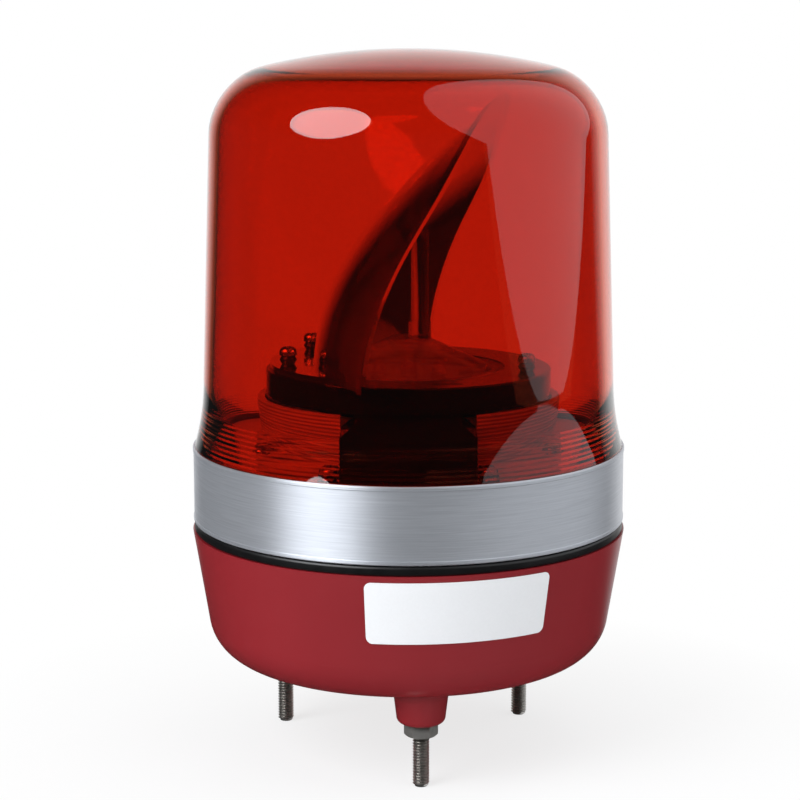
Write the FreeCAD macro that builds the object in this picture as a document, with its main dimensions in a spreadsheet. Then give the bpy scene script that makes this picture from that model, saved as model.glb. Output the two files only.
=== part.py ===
"""Rotating beacon: red dome on a clamp band, a turning reflector inside, a tapered base with three screws.

Millimetres, +Z up.  The origin is the centre of the plane in which the three bosses of the base end,
which is the plane of the panel that the beacon stands on.  The front faces -Y and the beam leaves
towards +X.  All driving dimensions are in the spreadsheet "sizes".
"""
import FreeCAD
import Part
import Sketcher
import math
import os

DIMENSIONS = (
    # base moulding
    ("boss_height", 6.4, "underside of the base above the panel"),
    ("boss_top_radius", 6.45, "boss where it leaves the underside"),
    ("boss_draft", 0.6, "what the boss loses in radius on its straight side"),
    ("boss_round", 1.6, "round at the free end of a boss"),
    ("base_height", 33.5, "underside to rim"),
    ("rim_over", 0.2, "rim of the base beyond the band, in radius"),
    ("base_draft", 9.3, "lean of the side in degrees"),
    ("base_slope", 7.9, "rise of the outer underside in degrees"),
    ("base_flat_radius", 30.0, "flat middle of the underside"),
    ("base_corner", 11.0, "outer round between side and underside"),
    ("base_wall", 2.5, "side wall"),
    ("floor_thickness", 2.9, "floor wall"),
    ("neck_wall", 3.5, "neck wall"),
    ("neck_rise", 13.5, "neck above the seal"),
    ("post_inset", 1.1, "chassis posts off the neck's inner wall"),
    ("post_radius", 3.5, "chassis post"),
    ("post_foot", 5.0, "start of a post above the underside, inside the curved wall"),
    # fixing screws
    ("screw_circle", 35.0, "radius of the circle of fixing screws"),
    ("screw_turn", 4.85, "front fixing screw away from -Y in degrees"),
    ("screw_radius", 2.0, "M4 thread"),
    ("screw_length", 25.0, "under the head"),
    ("screw_chamfer", 0.5, "chamfer at the tip"),
    ("screw_head_height", 2.8, "M4 hexagon head"),
    ("hexagon_flats", 7.0, "M4 width across flats"),
    ("spot_radius", 4.4, "spot face under a screw head"),
    ("nut_height", 3.2, "M4 nut"),
    ("nut_chamfer", 0.35, "chamfer of the nut's corners"),
    ("thread_gap", 0.05, "play of a screw in its hole"),
    # cable entry
    ("gland_bore", 2.75, "hole for a 5 mm cable"),
    ("gland_neck", 5.0, "grommet in the floor"),
    ("gland_flange", 6.8, "grommet flanges"),
    ("gland_lip", 1.2, "thickness of a grommet flange"),
    # seal, band and dome
    ("seal_thickness", 2.4, "seal between rim and band"),
    ("seal_inset", 0.2, "seal inside the band's outside, in radius"),
    ("twist_gap", 0.1, "play between the seal and the band that turns on it"),
    ("band_height", 18.2, "clamp band"),
    ("band_radius", 53.0, "outside of the band"),
    ("band_wall", 1.4, "band sheet"),
    ("band_edge", 0.4, "rolled edges of the band"),
    ("dome_rise", 114.1, "crown above the lower edge of the band"),
    ("shoulder_inset", 0.5, "dome inside the band's outside where they meet"),
    ("dome_flare", 9.6, "height of the flared foot"),
    ("flare_spread", 2.4, "what the flare adds to the radius"),
    ("dome_lean", 2.5, "what the side loses in radius up to the crown"),
    ("dome_corner", 15.0, "round between side and crown"),
    ("crown_radius", 152.0, "crown"),
    ("dome_wall", 2.5, "dome wall"),
    ("skirt_wall", 1.9, "dome skirt inside the band"),
    ("skirt_gap", 0.2, "between skirt and band"),
    ("skirt_lift", 1.0, "skirt ends this far above the band's lower edge"),
    ("neck_gap", 0.4, "between neck and skirt"),
    ("prism_pitch", 1.15, "ribs inside the flared foot"),
    ("prism_depth", 0.55, "depth of a rib"),
    # bayonet
    ("lug_reach", 1.8, "a lug's reach inwards from the skirt"),
    ("lug_height", 3.4, "a lug"),
    ("lug_low", 2.0, "a lug above the skirt's end"),
    ("lug_span", 12.0, "a lug in degrees"),
    ("lug_start", 24.0, "first lug, middle, in degrees"),
    ("lug_play", 0.6, "play at a lug's ends in degrees"),
    ("lug_clear", 0.35, "play above, below and behind a lug"),
    ("release_turn", 18.0, "turn that frees the dome in degrees"),
    # chassis
    ("flange_inset", 0.5, "chassis flange inside the neck's outside"),
    ("flange_thickness", 2.0, "chassis flange"),
    ("drum_over", 0.3, "inside of the drum beyond the turntable, in radius"),
    ("drum_wall", 1.8, "drum wall"),
    ("rib_pitch", 2.2, "grooves round the drum"),
    ("rib_groove", 0.6, "depth and width of such a groove"),
    ("deck_height", 8.0, "top of the deck above the flange's underside"),
    ("deck_thickness", 2.0, "deck"),
    ("tower_wall", 1.8, "journal wall"),
    ("tower_step", 1.8, "shoulder below the journal, in radius"),
    ("shoulder_height", 2.0, "shoulder above the deck"),
    ("ledge_reach", 1.6, "ledge under the heat sink"),
    ("ledge_height", 1.5, "thickness of that ledge"),
    ("washer_thickness", 0.7, "thrust washer"),
    ("run_gap", 0.1, "running play, in radius and in height"),
    ("clip_thickness", 0.8, "retaining ring"),
    ("clip_depth", 0.85, "depth of its groove"),
    ("clip_reach", 2.0, "width of the retaining ring"),
    # turntable
    ("gear_room", 5.056, "ring gear to the inside of the turntable's skirt"),
    ("disc_thickness", 2.0, "turntable"),
    ("disc_skirt", 6.5, "height of its skirt"),
    ("disc_skirt_wall", 2.0, "skirt wall"),
    ("disc_gap", 0.4, "skirt above the drum"),
    ("ring_rim", 2.1, "ring gear between bore and tooth roots"),
    ("hub_wall", 3.3, "hub of the turntable"),
    ("recess_room", 0.4, "recess round the retaining ring"),
    ("seat_step", 1.1, "seat of the clear cover beyond the recess"),
    ("key_slot_x", 9.0, "key slot in the turntable"),
    ("key_slot_y", -28.0, "key slot in the turntable"),
    ("key_slot_length", 7.0, "key slot in the turntable"),
    ("key_slot_width", 1.5, "key slot in the turntable"),
    ("seat_depth", 1.7, "seat of the clear cover"),
    ("disc_edge", 0.4, "chamfer of the rim"),
    # gears
    ("coarse_module", 0.8, "module of the ring gear"),
    ("ring_teeth", 68, "teeth of the ring gear"),
    ("idler_teeth", 12, "teeth of the idler's pinion"),
    ("fine_module", 0.5, "module of the motor stage"),
    ("wheel_teeth", 30, "teeth of the idler's wheel"),
    ("pinion_teeth", 12, "teeth of the motor pinion"),
    ("ring_addendum", 0.68, "tip of a ring gear tooth beyond the pitch circle, in modules"),
    ("ring_dedendum", 1.1, "root of a ring gear tooth inside the pitch circle, in modules"),
    ("wheel_addendum", 0.6, "tip of a wheel tooth beyond the pitch circle, in modules"),
    ("gear_height", 3.5, "ring gear"),
    ("wheel_height", 1.8, "idler wheel"),
    ("gear_lift", 0.5, "idler wheel above the deck"),
    ("backlash", 0.12, "taken off each tooth's thickness"),
    ("ring_gap", 0.02, "between the ring gear and the hub that it is pressed on"),
    ("idler_offset", 5.8, "idler axis left of the middle"),
    ("pin_radius", 1.0, "idler pin and motor shaft"),
    # motor
    ("motor_radius", 9.0, "motor can"),
    ("motor_length", 17.0, "motor can"),
    ("motor_corner", 1.0, "rolled edge of the can"),
    ("motor_boss", 3.0, "bearing boss"),
    ("motor_boss_height", 1.5, "bearing boss"),
    ("motor_screw_circle", 6.2, "radius of the motor's two screws"),
    ("cap_height", 2.4, "motor end cap"),
    # motor cover
    ("cover_side_room", 0.4, "cover beside the idler's wheel"),
    ("cover_front_room", 2.23, "cover in front of the idler's wheel"),
    ("cover_motor_room", 0.25, "cover round the motor can, at the least"),
    ("cover_screw_room", 0.1, "cover screw inside the base's neck, at the least"),
    ("cover_back_reach", 5.1, "open back of the cover inside the drum"),
    ("cover_wall", 1.5, "cover wall"),
    ("cover_chamfer", 3.5, "upper corners of the cover"),
    ("cover_head_room", 1.3, "inside of the cover above the ring gear"),
    ("cover_drop", 0.1, "top of the cover below the drum's edge"),
    ("window_gap", 0.1, "cover in the drum's window"),
    ("tab_reach", 5.0, "screw tab beside the cover"),
    ("tab_thickness", 1.8, "screw tab"),
    ("small_screw", 1.0, "M2 screw"),
    ("small_head", 2.1, "head of an M2 screw"),
    ("small_head_height", 1.5, "head of an M2 screw"),
    ("post_screw", 1.5, "M3 screw into a chassis post"),
    ("post_head", 2.75, "head of an M3 screw"),
    ("post_head_height", 1.9, "head of an M3 screw"),
    ("post_screw_depth", 12.0, "M3 screw below the flange"),
    ("hole_depth_over", 2.0, "blind hole beyond its screw"),
    # lamp
    ("sink_gap", 0.2, "heat sink inside the journal"),
    ("sink_thickness", 3.6, "heat sink plate"),
    ("fin_length", 6.0, "fins below the plate"),
    ("fin_thickness", 1.2, "fins"),
    ("fin_pitch", 4.2, "fins"),
    ("lamp_board_inset", 1.3, "lamp board inside the heat sink's edge"),
    ("lamp_screw_inset", 3.5, "lamp board screws inside the board's edge"),
    ("board_thickness", 1.6, "boards"),
    ("emitter_width", 3.6, "light source"),
    ("emitter_height", 0.9, "light source"),
    ("emitter_dome", 1.4, "its lens"),
    ("emitter_circle", 8.5, "circle of light sources"),
    # clear cover
    ("cover_seat_gap", 0.15, "clear cover in its seat"),
    ("cone_inset", 2.75, "clear cone inside its rim"),
    ("cone_top_radius", 4.6, "clear cone at its top"),
    ("cone_height", 7.2, "clear cone above the disc"),
    ("clear_wall", 1.5, "clear cover wall"),
    ("collar_radius", 2.75, "collar at the foot of the light rod"),
    ("collar_top", 11.0, "collar above the disc"),
    ("rod_radius", 2.1, "light rod"),
    ("rod_top", 32.5, "light rod above the disc"),
    ("rod_offset", 2.8, "light rod in front of the axis"),
    # reflector
    ("beam_turn", 10.6, "beam towards the front from +X in degrees"),
    ("mirror_inset", 13.4, "vertex of the reflector inside the turntable's edge"),
    ("mirror_wall", 1.2, "reflector wall at its vertex"),
    ("head_room", 16.2, "crown of the dome above the reflector"),
    ("rim_foot", -2.2, "rim from the axis at the disc"),
    ("rim_quarter", 0.3, "rim from the axis at a quarter of the height"),
    ("rim_half", 6.3, "rim from the axis at half the height"),
    ("rim_three", 14.3, "rim from the axis at three quarters of the height"),
    ("rim_tip", 20.7, "rim from the axis at the top"),
    ("lip_reach", 1.6, "lip round the rim, outwards"),
    ("lip_depth", 1.6, "lip round the rim, backwards"),
    ("foot_thickness", 1.5, "foot of the reflector"),
    ("foot_inset", 1.0, "outer edge of that foot inside the turntable's edge"),
    ("foot_front", -10.0, "front end of that foot"),
    # fixings on the turntable
    ("rear_fixing_inset", 7.6, "rear fixings inside the turntable's edge, along the beam"),
    ("rear_fixing_side", 12.2, "rear fixings beside the axis"),
    ("front_fixing_inset", 5.4, "front fixing inside the turntable's edge, along the beam"),
    ("front_fixing_side", 2.6, "front fixing beside the axis"),
    ("grommet_height", 2.2, "damping ring under a screw head"),
    ("fixing_head_height", 2.0, "screw head"),
    ("weight_width", 6.0, "balance weight"),
    ("weight_gap", 0.8, "balance weight inside the turntable's skirt"),
    ("weight_thickness", 2.4, "balance weight"),
    ("weight_span", 80.0, "balance weight in degrees"),
    # driver board
    ("driver_half_length", 27.0, "driver board"),
    ("driver_half_width", 16.0, "driver board"),
    ("driver_height", 11.6, "driver board above the underside"),
    ("standoff_x", 24.0, "board standoffs"),
    ("standoff_y", 13.0, "board standoffs"),
    ("standoff_radius", 3.0, "board standoffs"),
    # rating label
    ("label_drop", 1.4, "label below the rim"),
    ("label_height", 15.0, "label"),
    ("label_start", 11.0, "left edge from -Y in degrees"),
    ("label_span", 48.8, "label in degrees"),
    ("label_thickness", 0.2, "label"),
)

doc = FreeCAD.newDocument("rotating_beacon")
sheet = doc.addObject("Spreadsheet::Sheet", "sizes")
Vector = FreeCAD.Vector
UP = Vector(0, 0, 1)


class Size:
    """A number together with the spreadsheet expression that it comes from."""

    def __init__(self, value, text):
        self.value = float(value)
        self.text = text

    def _join(self, sign, other, value):
        return Size(value, f"({self.text} {sign} {other.text})")

    def __add__(self, other):
        other = as_size(other)
        return self._join("+", other, self.value + other.value)

    def __sub__(self, other):
        other = as_size(other)
        return self._join("-", other, self.value - other.value)

    def __mul__(self, other):
        other = as_size(other)
        return self._join("*", other, self.value * other.value)

    def __truediv__(self, other):
        other = as_size(other)
        return self._join("/", other, self.value / other.value)

    def __neg__(self):
        return Size(-self.value, f"(0 - {self.text})")

    def __radd__(self, other):
        return as_size(other) + self

    def __rsub__(self, other):
        return as_size(other) - self

    def __rmul__(self, other):
        return as_size(other) * self


def as_size(number):
    return number if isinstance(number, Size) else Size(number, repr(float(number)))


def root(size):
    return Size(math.sqrt(size.value), f"sqrt({size.text})")


def larger(one, other):
    return Size(max(one.value, other.value), f"max({one.text}; {other.text})")


def sine(degrees):
    degrees = as_size(degrees)
    return Size(math.sin(math.radians(degrees.value)), f"sin({degrees.text} * 1 deg)")


def cosine(degrees):
    degrees = as_size(degrees)
    return Size(math.cos(math.radians(degrees.value)), f"cos({degrees.text} * 1 deg)")


def tangent(degrees):
    return sine(degrees) / cosine(degrees)


class Sizes:
    """Every driving dimension by name, as a Size."""


S = Sizes()
for row, (name, number, meaning) in enumerate(DIMENSIONS, start=1):
    sheet.set(f"A{row}", name)
    sheet.set(f"B{row}", str(number))
    sheet.set(f"C{row}", meaning)
    sheet.setAlias(f"B{row}", name)
    setattr(S, name, Size(number, f"sizes.{name}"))
doc.recompute()


# ---- heights and radii that several pieces share ----

floor_low = S.boss_height
floor_top = floor_low + S.floor_thickness
rim_top = floor_low + S.base_height
seal_top = rim_top + S.seal_thickness
band_low = seal_top + S.twist_gap
band_top = band_low + S.band_height
dome_top = band_low + S.dome_rise
skirt_low = band_low + S.skirt_lift
skirt_outer = S.band_radius - S.band_wall - S.skirt_gap
skirt_inner = skirt_outer - S.skirt_wall
neck_radius = skirt_inner - S.neck_gap
base_rim = S.band_radius + S.rim_over
seal_radius = S.band_radius - S.seal_inset
dome_shoulder = S.band_radius - S.shoulder_inset
dome_foot = dome_shoulder - S.flare_spread
dome_corner_radius = dome_foot - S.dome_lean
flange_radius = neck_radius - S.flange_inset
neck_top = seal_top + S.neck_rise
neck_inner = neck_radius - S.neck_wall
post_circle = neck_inner - S.post_inset - S.post_radius
flange_top = neck_top + S.flange_thickness
deck_top = neck_top + S.deck_height
deck_low = deck_top - S.deck_thickness
ring_pitch_radius = S.coarse_module * S.ring_teeth / 2
ring_tip = ring_pitch_radius + S.coarse_module * S.ring_addendum
hub_radius = ring_pitch_radius - S.coarse_module * S.ring_dedendum - S.ring_rim - S.ring_gap
tower_radius = hub_radius - S.hub_wall - S.run_gap
hub_recess = tower_radius - S.clip_depth + S.thread_gap + S.clip_reach + S.recess_room
seat_radius = hub_recess + S.seat_step
disc_radius = ring_tip + S.gear_room + S.disc_skirt_wall
drum_inner = disc_radius + S.drum_over
cover_back = drum_inner - S.cover_back_reach
rear_fixing_back = disc_radius - S.rear_fixing_inset
front_fixing_ahead = disc_radius - S.front_fixing_inset
weight_outer = disc_radius - S.disc_skirt_wall - S.weight_gap
weight_inner = weight_outer - S.weight_width
foot_radius = disc_radius - S.foot_inset
focal_length = disc_radius - S.mirror_inset
drum_radius = drum_inner + S.drum_wall
tower_inner = tower_radius - S.tower_wall
sink_radius = tower_inner - S.sink_gap
lamp_board_radius = sink_radius - S.lamp_board_inset
lamp_screw_reach = lamp_board_radius - S.lamp_screw_inset
shoulder_top = deck_top + S.shoulder_height
shoulder_radius = tower_radius + S.tower_step
washer_top = shoulder_top + S.washer_thickness
hub_low = washer_top + S.run_gap
ring_low = hub_low + 2 * S.run_gap
ring_top = ring_low + S.gear_height
drum_top = ring_top + S.cover_head_room + S.cover_wall + S.cover_drop
disc_low_edge = drum_top + S.disc_gap
disc_top = disc_low_edge + S.disc_skirt
disc_under = disc_top - S.disc_thickness
mirror_height = dome_top - disc_top - S.head_room
seat_floor = disc_top - S.seat_depth
clip_low = seat_floor - 3 * S.clip_thickness
wheel_low = deck_top + S.gear_lift
wheel_top = wheel_low + S.wheel_height
idler_radius = S.coarse_module * (S.ring_teeth + S.idler_teeth) / 2
idler_x = -S.idler_offset
idler_y = -root(idler_radius * idler_radius - S.idler_offset * S.idler_offset)
motor_x = idler_x + S.fine_module * (S.wheel_teeth + S.pinion_teeth) / 2
motor_y = idler_y
motor_low = deck_low - S.motor_length
wheel_tip = S.fine_module * S.wheel_teeth / 2 + S.fine_module * S.wheel_addendum
cover_half_width = larger(S.idler_offset + wheel_tip + S.cover_side_room,
                          motor_x + S.motor_radius + S.cover_motor_room) + S.cover_wall
cover_front = larger(-idler_y + wheel_tip + S.cover_front_room,
                     -motor_y + S.motor_radius + S.cover_motor_room) + S.cover_wall
cover_top = drum_top - S.cover_drop
tab_x = cover_half_width + S.tab_reach / 2
tab_limit = neck_inner - S.small_screw - S.cover_screw_room
tab_y = larger(S.tab_reach * 0.7 - cover_front, -root(tab_limit * tab_limit - tab_x * tab_x))
sink_low = clip_low - 4 * S.clip_thickness - S.run_gap
sink_top = sink_low + S.sink_thickness
lamp_board_top = sink_top + S.board_thickness
tower_top = clip_low + 2 * S.clip_thickness + S.run_gap
driver_low = floor_low + S.driver_height
driver_top = driver_low + S.board_thickness
bolt_angles = [Size(-90.0, "(0 - 90)") + S.screw_turn + 120.0 * index for index in range(3)]
post_angles = [as_size(90.0), as_size(210.0), as_size(330.0)]
lug_angles = [S.lug_start + 120.0 * index for index in range(3)]


# ---- helpers that make one object each ----

def bind(thing, path, size):
    thing.setExpression(path, as_size(size).text)


def place(thing, x=0, y=0, z=0, turn=None):
    """Puts an object at x, y, z and turns it about +Z; every value stays tied to the sheet."""
    x, y, z = as_size(x), as_size(y), as_size(z)
    angle = 0.0 if turn is None else as_size(turn).value
    thing.Placement = FreeCAD.Placement(Vector(x.value, y.value, z.value), FreeCAD.Rotation(UP, angle))
    bind(thing, "Placement.Base.x", x)
    bind(thing, "Placement.Base.y", y)
    bind(thing, "Placement.Base.z", z)
    if turn is not None:
        bind(thing, "Placement.Rotation.Angle", turn)
    return thing


def named(thing, label):
    thing.Label = label
    return thing


def cylinder(label, radius, low, high, x=0, y=0, sweep=None, turn=None):
    thing = named(doc.addObject("Part::Cylinder", "cylinder"), label)
    bind(thing, "Radius", radius)
    bind(thing, "Height", as_size(high) - low)
    if sweep is not None:
        bind(thing, "Angle", sweep)
    return place(thing, x, y, low, turn)


def box(label, x_range, y_range, z_range):
    thing = named(doc.addObject("Part::Box", "box"), label)
    for side, (low, high) in zip(("Length", "Width", "Height"), (x_range, y_range, z_range)):
        bind(thing, side, as_size(high) - low)
    return place(thing, x_range[0], y_range[0], z_range[0])


def hexagon(label, flats, low, high, x=0, y=0):
    thing = named(doc.addObject("Part::Prism", "hexagon"), label)
    thing.Polygon = 6
    bind(thing, "Circumradius", flats / 2 / cosine(30.0))
    bind(thing, "Height", as_size(high) - low)
    return place(thing, x, y, low)


def fuse(label, pieces):
    thing = named(doc.addObject("Part::MultiFuse", "fuse"), label)
    thing.Shapes = pieces
    thing.Refine = True
    return thing


def cut(label, base, tools):
    thing = named(doc.addObject("Part::Cut", "cut"), label)
    thing.Base = base
    thing.Tool = tools[0] if len(tools) == 1 else fuse(label + " cutters", tools)
    thing.Refine = True
    return thing


def common(label, base, tool):
    thing = named(doc.addObject("Part::Common", "common"), label)
    thing.Base = base
    thing.Tool = tool
    thing.Refine = True
    return thing


def group(label, pieces):
    thing = named(doc.addObject("Part::Compound", "group"), label)
    thing.Links = pieces
    return thing


def tube(label, inner, outer, low, high, x=0, y=0):
    return cut(label, cylinder(label + " outside", outer, low, high, x, y),
               [cylinder(label + " bore", inner, as_size(low) - 1, as_size(high) + 1, x, y)])


def sector(label, inner, outer, low, high, start, sweep):
    """Part of a ring, from the angle start over sweep degrees."""
    return cut(label, cylinder(label + " outside", outer, low, high, sweep=sweep, turn=start),
               [cylinder(label + " inside", inner, as_size(low) - 1, as_size(high) + 1)])


def polar(radius, angle):
    return radius * cosine(angle), radius * sine(angle)


def on_rotor(ahead, side):
    """Row position of a point given along and across the beam."""
    return (ahead * cosine(S.beam_turn) + side * sine(S.beam_turn),
            side * cosine(S.beam_turn) - ahead * sine(S.beam_turn))


def arc_middle(start, end, radius, centre_left):
    chord = end - start
    left = Vector(-chord.y, chord.x, 0).normalize()
    rise = radius - math.sqrt(radius * radius - (chord.Length / 2) ** 2)
    return (start + end) * 0.5 + left * (-rise if centre_left else rise)


def tie_point(sketch, side, end, x, y):
    """Holds one end of a side at x, y from the origin of the sketch."""
    for kind, axis, value in (("DistanceX", -2, x), ("DistanceY", -1, y)):
        if value.text == "0.0":
            sketch.addConstraint(Sketcher.Constraint("PointOnObject", side, end, axis))
            continue
        index = sketch.addConstraint(Sketcher.Constraint(kind, -1, 1, side, end, value.value))
        sketch.setExpression(f"Constraints[{index}]", value.text)


def outline(sketch, points, arcs):
    """A closed outline; arcs gives some sides a radius and says whether the centre is on the left."""
    points = [(as_size(x), as_size(y)) for x, y in points]
    flat = [Vector(x.value, y.value, 0) for x, y in points]
    count = len(points)
    ends = []
    for side in range(count):
        start, end = flat[side], flat[(side + 1) % count]
        if side not in arcs:
            sketch.addGeometry(Part.LineSegment(start, end))
            ends.append((1, 2))
            continue
        radius, centre_left = arcs[side]
        sketch.addGeometry(Part.Arc(start, arc_middle(start, end, radius.value, centre_left), end))
        ends.append((1, 2) if centre_left else (2, 1))
        index = sketch.addConstraint(Sketcher.Constraint("Radius", side, radius.value))
        sketch.setExpression(f"Constraints[{index}]", radius.text)
    for side in range(count):
        following = (side + 1) % count
        sketch.addConstraint(Sketcher.Constraint("Coincident", side, ends[side][1], following, ends[following][0]))
        tie_point(sketch, side, ends[side][0], *points[side])


def turned(label, points, arcs=None, sweep=360.0, x=0, y=0, turn=None):
    """A body turned about +Z from a fully tied outline of radii and heights."""
    body = named(doc.addObject("PartDesign::Body", "body"), label)
    sketch = body.newObject("Sketcher::SketchObject", "outline")
    plane = [item for item in body.Origin.OriginFeatures if item.Role == "XZ_Plane"][0]
    sketch.AttachmentSupport = [(plane, "")]
    sketch.MapMode = "FlatFace"
    outline(sketch, points, arcs or {})
    revolution = body.newObject("PartDesign::Revolution", "turn")
    revolution.Profile = sketch
    revolution.ReferenceAxis = (sketch, ["V_Axis"])
    bind(revolution, "Angle", sweep)
    return place(body, x, y, 0, turn)


def circle_edge(shape, radius, height):
    """Name of the circular edge nearest to a radius and a height."""
    best = min(
        (abs(edge.Curve.Radius - radius) + abs(edge.CenterOfMass.z - height), index)
        for index, edge in enumerate(shape.Edges, start=1)
        if not edge.Degenerated and isinstance(edge.Curve, Part.Circle)
    )
    return f"Edge{best[1]}"


def rounded(body, corners):
    """Rounds circular edges of a turned body, each given as radius, height and fillet."""
    for radius, height, fillet_radius in corners:
        doc.recompute()
        base = body.Tip
        fillet = body.newObject("PartDesign::Fillet", "round")
        fillet.Base = (base, [circle_edge(base.Shape, radius.value, height.value)])
        bind(fillet, "Radius", fillet_radius)
        body.Tip = fillet
    return body


def feature(label, shape, turn=None, z=0):
    """An object whose shape is computed here from the sheet's values."""
    thing = named(doc.addObject("Part::Feature", "shape"), label)
    thing.Shape = shape
    return place(thing, 0, 0, z, turn)


def screw(label, radius, head_radius, head_height, seat, end, x, y):
    """A screw with a round head whose underside is at seat and whose tip is at end."""
    return fuse(label, [cylinder(label + " shank", radius, end, seat, x, y),
                        cylinder(label + " head", head_radius, seat, seat + head_height, x, y)])


# ---- base ----

def base_corner_point(rim_radius, underside):
    """Where the leaning side and the rising underside would meet."""
    lean, rise = tangent(S.base_draft), tangent(S.base_slope)
    radius = (rim_radius - (rim_top - underside) * lean - S.base_flat_radius * rise * lean) / (1 - rise * lean)
    return radius, underside + (radius - S.base_flat_radius) * rise


def base_round(corner, radius):
    """Tangent points of the round between underside and side, in that order."""
    half_turn = (90 - S.base_draft - S.base_slope) / 2
    reach = radius * tangent(half_turn)
    x, z = corner
    return [(x - reach * cosine(S.base_slope), z - reach * sine(S.base_slope)),
            (x + reach * sine(S.base_draft), z + reach * cosine(S.base_draft))]


def base_shell():
    wall = S.base_wall / cosine(S.base_draft)
    inner_round = S.base_corner - S.base_wall
    outer = base_round(base_corner_point(base_rim, floor_low), S.base_corner)
    inner = base_round(base_corner_point(base_rim - wall, floor_top), inner_round)
    ledge = rim_top - S.base_wall
    under_rim = base_rim - wall - S.base_wall * tangent(S.base_draft)
    return turned("base shell", [
        (0, floor_low), (S.base_flat_radius, floor_low), outer[0], outer[1], (base_rim, rim_top),
        (neck_radius, rim_top), (neck_radius, neck_top), (neck_inner, neck_top), (neck_inner, ledge),
        (under_rim, ledge), inner[1], inner[0], (S.base_flat_radius, floor_top), (0, floor_top)],
        {2: (S.base_corner, True), 10: (inner_round, False)})


def boss(index):
    """A tapered foot of the base round one fixing screw."""
    x, y = polar(S.screw_circle, bolt_angles[index])
    neck = S.boss_top_radius - S.boss_draft
    return turned(f"boss {index}", [
        (0, 0), (neck - S.boss_round, 0), (neck, S.boss_round), (S.boss_top_radius, S.boss_height),
        (S.boss_top_radius, floor_top), (0, floor_top)], {1: (S.boss_round, True)}, x=x, y=y)


def bayonet_cutters():
    """Track and entry slot in the neck for each lug of the dome."""
    floor_radius = skirt_inner - S.lug_reach - S.lug_clear
    low = skirt_low + S.lug_low - S.lug_clear
    high = low + S.lug_height + 2 * S.lug_clear
    outside = neck_radius + 1
    tools = []
    for index, angle in enumerate(lug_angles):
        start = angle - S.lug_span / 2 - S.lug_play
        width = S.lug_span + 2 * S.lug_play
        tools.append(sector(f"track {index}", floor_radius, outside, low, high, start, width + S.release_turn))
        tools.append(sector(f"entry {index}", floor_radius, outside, low, neck_top + 1,
                            start + S.release_turn, width))
    return tools


def base_housing():
    pieces = [base_shell()] + [boss(index) for index in range(3)]
    for index, angle in enumerate(post_angles):
        pieces.append(cylinder(f"post {index}", S.post_radius, floor_low + S.post_foot, neck_top,
                               *polar(post_circle, angle)))
    for index, (side, end) in enumerate(((1, 1), (-1, 1), (-1, -1), (1, -1))):
        pieces.append(cylinder(f"standoff {index}", S.standoff_radius, floor_low + 1, driver_low,
                               S.standoff_x * side, S.standoff_y * end))
    tools = [cylinder("gland hole", S.gland_neck, floor_low - 1, floor_top + 1)] + bayonet_cutters()
    for index, angle in enumerate(bolt_angles):
        x, y = polar(S.screw_circle, angle)
        tools.append(cylinder(f"screw hole {index}", S.screw_radius + S.thread_gap, -1, floor_top + 1, x, y))
        tools.append(cylinder(f"spot face {index}", S.spot_radius, floor_top, floor_top + 6, x, y))
    for index, angle in enumerate(post_angles):
        tools.append(cylinder(f"post hole {index}", S.post_screw + S.thread_gap,
                              neck_top - S.post_screw_depth - S.hole_depth_over, neck_top + 1, *polar(post_circle, angle)))
    for index, (side, end) in enumerate(((1, 1), (-1, 1), (-1, -1), (1, -1))):
        tools.append(cylinder(f"standoff hole {index}", S.small_screw + S.thread_gap, driver_low - 6,
                              driver_low + 1, S.standoff_x * side, S.standoff_y * end))
    return cut("base_housing", fuse("base body", pieces), tools)


def base_seal():
    return tube("base_seal", neck_radius + S.thread_gap, seal_radius, rim_top, seal_top)


def cable_grommet():
    neck = S.gland_neck - S.thread_gap
    lip_low, lip_top = floor_low - S.gland_lip, floor_top + S.gland_lip
    return turned("cable_grommet", [
        (S.gland_bore, lip_low), (S.gland_flange, lip_low), (S.gland_flange, floor_low), (neck, floor_low),
        (neck, floor_top), (S.gland_flange, floor_top), (S.gland_flange, lip_top), (S.gland_bore, lip_top)])


def fixing_screw(index):
    """M4 screw with its head on the floor; the thread below the nut is a face of its own."""
    x, y = polar(S.screw_circle, bolt_angles[index])
    tip = floor_top - S.screw_length
    end = turned(f"screw end {index}", [
        (0, tip), (S.screw_radius - S.screw_chamfer, tip), (S.screw_radius, tip + S.screw_chamfer),
        (S.screw_radius, -S.nut_height), (0, -S.nut_height)], x=x, y=y)
    shank = cylinder(f"screw shank {index}", S.screw_radius, -S.nut_height, floor_top, x, y)
    head = hexagon(f"screw head {index}", S.hexagon_flats, floor_top, floor_top + S.screw_head_height, x, y)
    whole = fuse(f"fixing screw {index}", [end, shank, head])
    whole.Refine = False
    return whole


def fixing_nut(index):
    x, y = polar(S.screw_circle, bolt_angles[index])
    corner = S.hexagon_flats / 2 / cosine(30.0)
    inner = corner - 2 * S.nut_chamfer
    blank = turned(f"nut blank {index}", [
        (S.screw_radius + S.thread_gap, -S.nut_height), (inner, -S.nut_height),
        (corner, -S.nut_height + S.nut_chamfer), (corner, -S.nut_chamfer), (inner, 0),
        (S.screw_radius + S.thread_gap, 0)], x=x, y=y)
    flats = hexagon(f"nut flats {index}", S.hexagon_flats, -S.nut_height, 0, x, y)
    return common(f"nut {index}", blank, flats)


def rating_label():
    """Bare label stuck on the leaning side."""
    lean = tangent(S.base_draft)
    high = rim_top - S.label_drop
    low = high - S.label_height
    gap = S.thread_gap
    top = base_rim - S.label_drop * lean + gap
    foot = base_rim - (S.label_drop + S.label_height) * lean + gap
    return turned("rating_label", [
        (foot, low), (foot + S.label_thickness, low), (top + S.label_thickness, high), (top, high)],
        sweep=S.label_span, turn=Size(-90.0, "(0 - 90)") - S.label_start)


# ---- dome and band ----

def crown_height(top, radius, at):
    return top - radius + root(radius * radius - at * at)


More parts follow.
